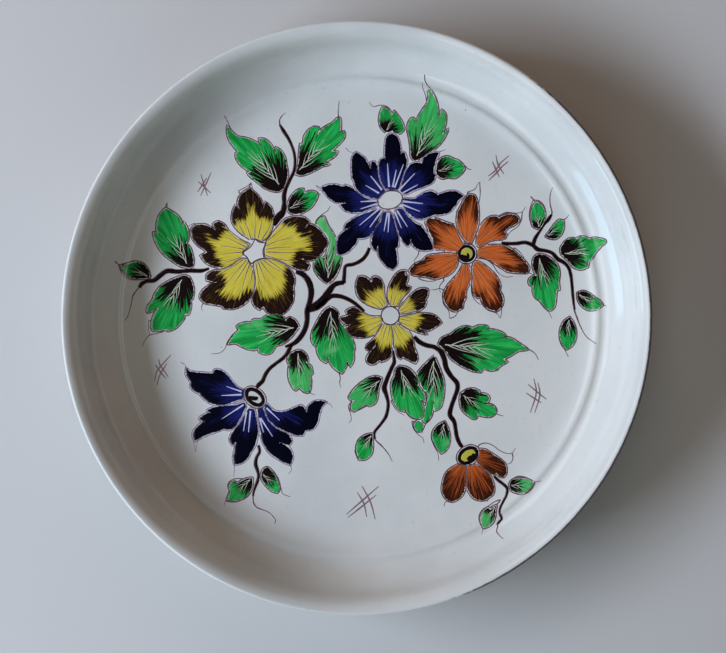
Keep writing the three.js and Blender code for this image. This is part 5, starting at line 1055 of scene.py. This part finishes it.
def thrown_body():
    """The clay and its three coats of glaze, all turned about the same axis."""
    face_line = smooth([*FACE, *LIP], 1.0)
    back_line = smooth([LIP[-1], *BACK], 2.0)
    face = lathe(skin(face_line))
    mark_lip_shade(face)
    face.piece("dish_glaze", GLAZE_SKIN, "grey_glaze", "face_glaze", smooth_angle=60)
    back = lathe(skin(back_line))
    mark_lip_shade(back)
    back.piece("outer_glaze", GLAZE_SKIN, "grey_glaze", "back_glaze", smooth_angle=60)
    well = lathe([(0, FOOT_TOP - GLAZE), (78.8, FOOT_TOP - GLAZE), (79.7, FOOT_TOP - 0.35),
                  (80, FOOT_TOP - 0.02), (0, FOOT_TOP - 0.02)])
    well.values["lip"] = [0.0] * len(well.points)
    well.piece("recess_glaze", GLAZE_SKIN, "grey_glaze", "well_glaze", smooth_angle=60)
    core = inset(face_line, GLAZE) + inset(back_line, GLAZE)
    clay = lathe([(p.x, FLOOR + p.y) for p in core + [Vector(p) for p in FOOT]] + [(0, FOOT_TOP)])
    clay.piece("clay_body_and_foot", CLAY, "bare_clay", "clay_body", smooth_angle=50)


# ---------------------------------------------------------------- the painting

FLOWERS = {
    "yellow_bloom": (YELLOW_BLOOM, "yellow", "yellow_enamel"),
    "blue_bloom": (BLUE_BLOOM, "navy", "navy_enamel"),
    "orange_bloom": (ORANGE_BLOOM, "orange", "orange_enamel"),
    "yellow_posy": (YELLOW_POSY, "yellow", "yellow_enamel"),
    "blue_bell": (BLUE_BELL, "navy", "navy_enamel"),
    "orange_bell": (ORANGE_BELL, "orange", "orange_enamel"),
}
PETALS = {name: [outline_of(runs) for runs in table] for name, (table, _, _) in FLOWERS.items()}
BLADES = {name: outline_of(runs) for name, runs in LEAVES.items()}


def other_fills(own):
    """Every point on the outline of another petal or leaf."""
    outlines = [*BLADES.values(), *(outline for petals in PETALS.values() for outline in petals)]
    return tree_of([point for outline in outlines if outline is not own for point in outline])


# The bare gap that a fill leaves for the line beside it, and the most that it is brushed out.
GAP_BETWEEN = 0.5
SWELL = 0.22


def swollen(outline, others):
    """A fill brushed out a little, but never closer to its neighbours than a scratched line."""
    grown = []
    for point, normal in zip(outline, normals_of(outline)):
        room = away(others, point) - GAP_BETWEEN
        grown.append(point + normal * min(max(room / 2, 0), SWELL))
    return grown


def brush_out():
    """Swells every fill against the outlines as first laid out."""
    petals = {name: [swollen(outline, other_fills(outline)) for outline in outlines]
              for name, outlines in PETALS.items()}
    blades = {name: swollen(outline, other_fills(outline)) for name, outline in BLADES.items()}
    PETALS.update(petals)
    BLADES.update(blades)


def centre_of(heart):
    return Vector(heart[:2])


def middle_angle(points, origin):
    """The direction from the origin to the mean of the points."""
    mean = sum(((point - origin).normalized() for point in points), Vector((0, 0)))
    return math.atan2(mean.y, mean.x)


def turn_from(arm, angle):
    """How far an arm is turned from an angle, from minus pi to pi."""
    return math.remainder(math.atan2(arm.y, arm.x) - angle, 2 * math.pi)


# How far out along a petal its end begins, and how deep the dark paint comes in from that end.
FAR_SHARE = {
    "yellow_bloom": 0.6, "blue_bloom": 0.62, "orange_bloom": 0.62,
    "yellow_posy": 0.68, "blue_bell": 0.56, "orange_bell": 0.6,
}
END_SHARE = 0.5
TIP_DEPTH = {"orange_bell": 2.0, "blue_bell": 1.5, "blue_bloom": 1.15}


def paint_flower(name):
    """All the petals of one flower, with the distances that their streaks and dark tips follow."""
    table, paint, slot = FLOWERS[name]
    origin = centre_of(HEARTS[name])
    depth = TIP_DEPTH.get(name, 1)
    sheet = Sheet()
    for k, outline in enumerate(PETALS[name]):
        angle = middle_angle(outline, origin)
        spans = [(point - origin).length for point in outline]
        longest = max(spans)
        far = min(spans) + FAR_SHARE[name] * (longest - min(spans))
        rim_tree = tree_of([point for point, span in zip(outline, spans) if span > far])

        def measure(spot, arm):
            tip = min(away(rim_tree, spot), (longest - arm.length) * END_SHARE) / depth
            return {"rad": arm.length, "fan": turn_from(arm, angle), "tip": tip}

        fill(sheet, outline, origin, 3.1 * k + len(name), measure)
    sheet.piece(name + "_petals", PETAL_PAINT[paint], slot, name)


# How much of each leaf, from its base, is dark, and how thin the green is on the palest ones. A
# leaf that isn't dark at all has no veins either.
LEAF_SHADE = {
    "leaf_north_west": 0.42, "leaf_north": 0.44, "leaf_by_fork": 0.6, "leaf_bud": 0.55,
    "leaf_flame": 0.34, "leaf_east_of_blue": 0.55, "leaf_west_upper": 0.42, "leaf_west_lower": 0.5,
    "leaf_west_tip": 0.66, "leaf_curl": 0.4, "leaf_mid_west": 0.38, "leaf_mid": 0.46,
    "leaf_mid_small": 0.45, "leaf_south": 0.42, "leaf_south_tip": 0.45, "leaf_south_twin": 0.42,
    "leaf_south_tall": 0.5, "leaf_drop": 0.0, "leaf_east_big": 0.46, "leaf_east_small": 0.5,
    "leaf_south_east": 0.52, "leaf_bell_east": 0.55, "leaf_bell_south": 0.55,
    "leaf_east_bud": 0.42, "leaf_east_bud_small": 0.55, "leaf_east_rim": 0.52,
    "leaf_east_inner": 0.46, "leaf_east_edge": 0.6, "leaf_east_low": 0.52,
    "leaf_bell_twig_west": 0.55, "leaf_bell_twig_east": 0.6,
}
THIN_PAINT = {
    "leaf_curl": 0.4, "leaf_mid_small": 0.25, "leaf_bell_south": 0.3, "leaf_bell_east": 0.35,
    "leaf_south": 0.15, "leaf_flame": 0.15, "leaf_bell_twig_west": 0.1,
}


def leaf_measures(name):
    """A leaf's base, its length and the direction that it points in."""
    outline = BLADES[name]
    base = Vector(LEAVES[name][0][0])
    reach = max((point - base).length for point in outline)
    outer_half = [point for point in outline if (point - base).length > reach * 0.5]
    return base, reach, middle_angle(outer_half, base)


def paint_leaf(name, seed):
    """One leaf, with the distances that its streaks and dark base follow."""
    base, reach, angle = leaf_measures(name)
    whole = {"shade": LEAF_SHADE[name], "thin": THIN_PAINT.get(name, 0.0)}

    def measure(spot, arm):
        span = arm.length
        return {"rad": span, "fan": turn_from(arm, angle), "tip": span / reach, **whole}

    sheet = Sheet()
    fill(sheet, BLADES[name], base, seed, measure)
    sheet.piece(name + "_blade", LEAF_PAINT, "green_enamel", name)


# How much wider a stem's mauve edge is than its dark stroke, and how heavy the marks are drawn.
HALO = 0.55
MARK_WEIGHT = 0.85


def paint_stem(name):
    """A stem's dark strokes, and the mauve edge that shows on either side of them."""
    sheet = Sheet()
    halo = Sheet()
    for k, stroke in enumerate(STEMS[name]):
        path = smooth(stroke, LINE_STEP)
        spots = [point.xy for point in path]
        rough = [1 + 0.22 * noise.noise((p.x * 0.5, p.y * 0.5, k)) for p in spots]
        ribbon(sheet, spots, [max(p.z, 0.5) * r for p, r in zip(path, rough)], 0.02, 0.09, seed=k)
        ribbon(halo, spots, [p.z + HALO for p in path], 0.0, 0.012, seed=k)
    sheet.piece(name + "_stroke", DARK_PAINT, "dark_enamel", name)
    halo.piece(name + "_edge", MAUVE, "mauve_line")


def paint_mark(name):
    """One cross-hatched mark."""
    sheet = Sheet()
    for k, stroke in enumerate(MARKS[name]):
        path = smooth(stroke, LINE_STEP)
        ribbon(sheet, [p.xy for p in path], [p.z * MARK_WEIGHT for p in path], 0.0, 0.05, seed=k)
    sheet.piece(name + "_strokes", MAUVE, "mauve_line", name)


# ---------------------------------------------------------------- scratched outlines and fine lines

def mitres_of(outline):
    """Outward directions at a closed outline's points, longer where it turns a sharp corner."""
    normals = normals_of(outline)
    arms = []
    for before, at, after, normal in zip(outline[-1:] + outline[:-1], outline,
                                         outline[1:] + outline[:1], normals):
        leg = (at - before).normalized()
        onward = (after - at).normalized()
        half = math.sqrt(max((1 + leg.dot(onward)) / 2, 0.2))
        outside = (leg - onward).dot(normal) > 0
        arms.append(normal / half if outside else normal)
    return arms


# How far outside a fill the line round it lies, how wide lines are, how far off a tail is led back
# to what is drawn, and how many steps a petal's vein has.
OUTLINE_GAP = 0.48
LINE_WIDTH = 1.1
JOIN_FROM = 0.3
JOIN_TO = 2.6
VEIN_STEPS = 23


def traced(outline, others, drawn):
    """Lines scratched round a fill, a little outside it, or midway to the next fill.

    Where a line already runs between two fills, no second one is drawn.
    """
    own = tree_of(outline)
    done = tree_of(drawn)
    runs = [[]]
    for point, arm in zip(outline, mitres_of(outline)):
        wander = 0.15 * noise.noise((point.x * 0.12, point.y * 0.12, 9.1))
        gap = min(OUTLINE_GAP + wander, 0.5 * away(others, point))
        moved = point + arm * gap
        free = away(own, moved) > gap * 0.85 and away(done, moved) > 0.5
        if free and gap > 0.16:
            runs[-1].append(moved)
        elif runs[-1] and (moved - runs[-1][-1]).length > 2.0:
            runs.append([])
    if len(runs) == 1:
        runs[0].append(runs[0][0])
    return [run for run in runs if len(run) > 3]


def evened(run):
    """Every other point of a run, with its sharp corners kept."""
    kept = [run[0]]
    for i in range(1, len(run) - 1):
        turn = (run[i] - run[i - 1]).normalized().dot((run[i + 1] - run[i]).normalized())
        if i % 2 == 0 or turn < 0.8:
            kept.append(run[i])
    return [*kept, run[-1]]


def scratch(sheet, run, width=LINE_WIDTH, start=1.0, end=1.0, lift=0.0):
    """One drawn line, whose width goes from the start share to the end share of the given one."""
    ribbon(sheet, run, tapered(run, width, start, end), lift, 0.03)


def scratch_round(sheet, outlines, drawn):
    """Scratches a line round each outline, and adds the points drawn to a list."""
    for outline in outlines:
        for run in traced(outline, other_fills(outline), drawn):
            scratch(sheet, evened(run))
            drawn += run


def joined_on(tail, drawn):
    """A tail led back to the nearest drawn point, if that is close."""
    start = Vector(tail[0])
    nearest = min(drawn, key=lambda point: (point - start).length)
    return [nearest, *tail] if JOIN_FROM < (nearest - start).length < JOIN_TO else tail


def scratch_tails(sheet, tails, drawn, width=LINE_WIDTH):
    """Scratches fine lines that thin out as they run on from what is drawn."""
    for tail in tails:
        scratch(sheet, smooth(joined_on(tail, drawn), LINE_STEP), width, 1.0, 0.45)


def flower_lines(name, drawn):
    """The lines round one flower's petals, and those that run on from them."""
    sheet = Sheet()
    scratch_round(sheet, PETALS[name], drawn)
    scratch_tails(sheet, TAILS[name], drawn)
    line = PALE_SCRATCH if FLOWERS[name][1] == "navy" else SCRATCH
    sheet.piece(name + "_outlines", line, "mauve_line")


def leaf_lines(drawn):
    """The lines round every leaf, and those that run on from them."""
    sheet = Sheet()
    scratch_round(sheet, BLADES.values(), drawn)
    scratch_tails(sheet, TAILS["leaves"], drawn)
    sheet.piece("leaf_outlines", SCRATCH, "mauve_line")


def stem_tails():
    """The fine lines that run on from the stems' ends."""
    sheet = Sheet()
    stem_ends = [Vector(stroke[-1][:2]) for strokes in STEMS.values() for stroke in strokes]
    scratch_tails(sheet, TAILS["stems"], stem_ends, LINE_WIDTH * 1.2)
    sheet.piece("stem_tails", SCRATCH, "mauve_line")


def kept_inside(path, outline):
    """The points of a path that lie within an outline."""
    return [spot for spot in path if is_inside(spot, outline)]


def along_heading(origin, heading, span):
    """The point a span away from the origin in the direction of the heading."""
    return origin + Vector((math.cos(heading), math.sin(heading))) * span


def arc(start, heading, bend, skip, length):
    """Points along a gently bending line that begins a little way from its start."""
    steps = max(int(length / 0.6), 5)
    line = [along_heading(start, heading, skip)]
    for k in range(steps):
        line.append(along_heading(line[-1], heading + bend * k / steps, length / steps))
    return line


def petal_veins(name, material, share, per_petal, width):
    """Fine lines brushed outwards from the heart over each petal."""
    rng = random.Random(len(name) * 7)
    origin = centre_of(HEARTS[name])
    sheet = Sheet()
    for outline in PETALS[name]:
        spans = [(point - origin).length for point in outline]
        start = min(spans)
        reach = max(spans) - start
        angle = middle_angle(outline, origin)
        turns = [turn_from(point - origin, angle)
                 for point, span in zip(outline, spans) if span < start + reach * 0.3]
        low, high = min(turns), max(turns)
        for k in range(per_petal):
            turn = low + (high - low) * (k + 0.5) / per_petal + rng.uniform(-0.04, 0.04)
            length = reach * share * rng.uniform(0.7, 1.15)
            bend = turn * rng.uniform(-0.3, 0.1) + rng.uniform(-0.1, 0.1)
            path = []
            for step in range(VEIN_STEPS + 1):
                along = step / VEIN_STEPS
                heading = angle + turn + bend * along * along
                path.append(along_heading(origin, heading, start + length * along))
            path = kept_inside(path, outline)
            if len(path) > 4:
                scratch(sheet, path, width, 1.0, 0.3, ON_PAINT)
    sheet.piece(name + "_veins", material, "mauve_line")


def leaf_veins():
    """A scratched midrib from each leaf's base, with side veins that curve away from it."""
    rng = random.Random(41)
    sheet = Sheet()
    for name, outline in BLADES.items():
        if LEAF_SHADE[name] == 0:
            continue
        base, reach, angle = leaf_measures(name)
        middle = arc(base, angle, rng.uniform(-0.15, 0.15), reach * 0.07, reach * rng.uniform(0.5, 0.62))
        branches = [middle]
        count = 2 + int(reach / 6)
        for k in range(count):
            side = 1 if k % 2 else -1
            root = middle[int(len(middle) * (0.06 + 0.62 * k / count))]
            length = reach * rng.uniform(0.2, 0.36) * (1 - 0.3 * k / count)
            branches.append(arc(root, angle + side * rng.uniform(0.3, 0.6), -side * 0.35, 0.2, length))
        for branch in branches:
            branch = kept_inside(branch, outline)
            if len(branch) > 4:
                scratch(sheet, branch, 0.22 + 0.006 * reach, 1.0, 0.3, ON_PAINT)
    sheet.piece("leaf_veins", VEIN, "mauve_line")


RAY_START = 6.3


def rays():
    """Pale strokes over the blue petals, from the heart outwards."""
    middle = centre_of(HEARTS["blue_bloom"])
    from_heart = [[middle + (Vector(end) - middle).normalized() * RAY_START, end]
                  for end in BLUE_RAY_ENDS]
    for name, strokes, width in (("blue_bloom", from_heart, 0.95), ("blue_bell", BELL_RAYS, 0.85)):
        sheet = Sheet()
        for stroke in strokes:
            scratch(sheet, smooth(stroke, 0.8), width, 1.0, 0.35, ON_PAINT)
        sheet.piece(name + "_rays", LILAC, "grey_glaze")


def closed(ring):
    return ring + ring[:1]


# How wide each dark ring is, how far outside the heart's oval its outline and its outer edge lie,
# and how far inside it the yellow core ends.
DARK_RINGS = {"orange_bloom": 1.5, "blue_bell": 2.0, "orange_bell": 1.8}
RING_OUTLINE = 0.85
RING_OUTER = 0.2
CORE_INSET = -1.4


def heart_outlines():
    """The star in the yellow flower's heart and the fine rings round the other hearts."""
    sheet = Sheet()
    scratch(sheet, evened(closed(outline_of(STAR))))
    scratch(sheet, closed(oval(HEARTS["blue_bloom"])))
    scratch(sheet, closed(oval(HEARTS["yellow_posy"])))
    for name in DARK_RINGS:
        scratch(sheet, closed(oval(HEARTS[name], RING_OUTLINE)))
    sheet.piece("heart_outlines", SCRATCH, "mauve_line")


def dark_ring(name, width):
    """A dark ring whose width varies as a brushed one's does."""
    sheet = Sheet()
    path = closed(oval(HEARTS[name], RING_OUTER - width / 2))
    widths = [width * (1 + 0.25 * noise.noise((p.x * 0.4, p.y * 0.4, 5))) for p in path]
    ribbon(sheet, path, widths, 0.02, 0.1)
    sheet.piece(name + "_dark_ring", DARK_PAINT, "dark_enamel", name + "_ring")


def yellow_core(name):
    """The yellow patch inside a dark ring."""
    def measure(spot, arm):
        return {"along": arm.length, "across": turn_from(arm, 0)}

    sheet = Sheet()
    fill(sheet, oval(HEARTS[name], CORE_INSET), centre_of(HEARTS[name]), 1.0, measure)
    sheet.piece(name + "_yellow_core", YOLK, "yellow_enamel", name + "_core")


# The dark commas that the brush left inside the ringed hearts: x, y and width of each stroke.
COMMAS = [
    [[50.8, 30.6, 1.6], [52.2, 29.5, 2.5], [53.9, 29.5, 2.2], [54.4, 30.8, 1.2], [53.9, 31.6, 0.6]],
    [[-53.2, -38.4, 1.1], [-52.1, -39.1, 2.0], [-50.8, -39.3, 2.2], [-49.6, -39.3, 1.8],
     [-49.4, -38.4, 0.9]],
    [[54.2, -68.7, 1.8], [55.5, -67.7, 2.5], [57, -66.9, 2.2], [56.8, -65.4, 1.2]],
]


def commas():
    """The dark strokes inside the ringed hearts."""
    sheet = Sheet()
    for stroke in COMMAS:
        path = smooth(stroke, 0.4)
        ribbon(sheet, [p.xy for p in path], [p.z for p in path], ON_PAINT, 0.04)
    sheet.piece("heart_commas", DARK_PAINT, "dark_enamel")


thrown_body()
brush_out()
scratched = []
for flower in FLOWERS:
    paint_flower(flower)
    flower_lines(flower, scratched)
for index, leaf in enumerate(LEAVES):
    paint_leaf(leaf, 1.7 * index)
for stem in STEMS:
    paint_stem(stem)
for mark in MARKS:
    paint_mark(mark)
leaf_lines(scratched)
stem_tails()
leaf_veins()
petal_veins("yellow_bloom", YELLOW_VEIN, 0.5, 5, 0.85)
petal_veins("yellow_posy", YELLOW_VEIN, 0.42, 3, 0.7)
petal_veins("orange_bloom", ORANGE_VEIN, 0.5, 3, 0.7)
rays()
heart_outlines()
for flower, ring_width in DARK_RINGS.items():
    dark_ring(flower, ring_width)
yellow_core("orange_bloom")
yellow_core("orange_bell")
commas()


# ---------------------------------------------------------------- stage, light and camera

def floor_piece():
    """A plain pale floor, well wider than what the camera sees."""
    bpy.ops.mesh.primitive_plane_add(size=6, location=(0, 0, 0))
    floor = bpy.context.object
    floor.name = "floor"
    n = Nodes("floor_paper")
    tone = n.mix(n.noise(n.place(), 3, 2), rgb(196, 192, 188), rgb(206, 202, 198))
    floor.data.materials.append(n.finish(tone, 0.9))


LAMP_DISTANCE = 1.6
# Each lamp: what it lights, its angle round from +x and above the table in degrees, its width and
# height in metres, its watts and its colour. Shading and reflections have their own lamps.
LAMPS = {
    "sky_glow": ("diffuse", 189, 32.5, 1.3, 0.38, 37.5, (0.66, 0.78, 0.96)),
    "far_wall": ("diffuse", 90, 33, 1.0, 1.0, 4.4, (0.92, 0.74, 0.6)),
    "near_wall": ("diffuse", 270, 28, 1.0, 1.0, 4.6, (0.66, 0.92, 1.0)),
    "ceiling": ("diffuse", 180, 86, 1.0, 1.0, 1.65, (0.95, 1.0, 0.95)),
    "window_seen": ("glossy", 195, 20, 0.76, 0.4, 3.3, (0.4, 0.8, 1.0)),
    "skylight_seen": ("glossy", 187, 54, 2.6, 0.6, 8, (0.95, 0.97, 1.0)),
}


def soft_lamp(name, kind, azimuth, elevation, width, height, watts, colour):
    """A soft rectangular light that looks at the plate, for shading or for reflections alone."""
    light = bpy.data.lights.new(name, "AREA")
    light.shape = "RECTANGLE"
    light.size = width
    light.size_y = height
    light.energy = watts
    light.color = colour
    lamp = bpy.data.objects.new(name, light)
    a, e = math.radians(azimuth), math.radians(elevation)
    aim = Vector((math.cos(e) * math.cos(a), math.cos(e) * math.sin(a), math.sin(e)))
    lamp.location = aim * LAMP_DISTANCE
    lamp.rotation_euler = aim.to_track_quat("Z", "Y").to_euler()
    lamp.visible_glossy = kind == "glossy"
    lamp.visible_diffuse = kind == "diffuse"
    bpy.context.scene.collection.objects.link(lamp)


# The glow of the room all round and straight above, and how high up it goes over from one to the
# other: the upward part of a direction, from 0 at the horizon to 1.
ROOM_GLOW = (0.055, 0.025, 0.015)
OVERHEAD = (0.006, 0.006, 0.008)
OVERHEAD_FROM = 0.75
OVERHEAD_FULL = 0.93


def room_light():
    """The rest of the room: a dim warm glow all round, and nearly dark straight above."""
    world = bpy.data.worlds.new("room")
    bpy.context.scene.world = world
    world.use_nodes = True
    tree = world.node_tree
    split = tree.nodes.new("ShaderNodeSeparateXYZ")
    tree.links.new(tree.nodes.new("ShaderNodeTexCoord").outputs["Generated"], split.inputs[0])
    fade = tree.nodes.new("ShaderNodeMapRange")
    fade.interpolation_type = "SMOOTHSTEP"
    fade.inputs["From Min"].default_value = OVERHEAD_FROM
    fade.inputs["From Max"].default_value = OVERHEAD_FULL
    tree.links.new(split.outputs["Z"], fade.inputs["Value"])
    blend = tree.nodes.new("ShaderNodeMix")
    blend.data_type = "RGBA"
    tree.links.new(fade.outputs[0], blend.inputs[0])
    blend.inputs[6].default_value = (*ROOM_GLOW, 1)
    blend.inputs[7].default_value = (*OVERHEAD, 1)
    tree.links.new(blend.outputs[2], tree.nodes["Background"].inputs["Color"])


# Where the camera looks, in millimetres on the plan, the direction from there to it, its distance
# in metres, and its focal length and sensor's width in millimetres.
CAMERA_AIM = (3.185, -3.926)
CAMERA_TOWARDS = (0.1055, 0.00191, 0.99442)
CAMERA_DISTANCE = 0.7
FOCAL_LENGTH = 71.09
SENSOR_WIDTH = 36


def camera():
    """Nearly straight above and a little to the right, with the top of the plate upwards."""
    towards = Vector(CAMERA_TOWARDS)
    lens = bpy.data.cameras.new("camera")
    lens.lens = FOCAL_LENGTH
    lens.sensor_width = SENSOR_WIDTH
    lens.clip_start = 0.01
    eye = bpy.data.objects.new("camera", lens)
    eye.location = Vector((*CAMERA_AIM, FLOOR)) * MM + towards * CAMERA_DISTANCE
    across = Vector((0, 1, 0)).cross(towards).normalized()
    upward = towards.cross(across)
    eye.rotation_euler = Matrix((across, upward, towards)).transposed().to_euler()
    bpy.context.scene.collection.objects.link(eye)
    bpy.context.scene.camera = eye


floor_piece()
for lamp_name, lamp_settings in LAMPS.items():
    soft_lamp(lamp_name, *lamp_settings)
room_light()
camera()
bpy.context.scene.view_settings.view_transform = "Standard"
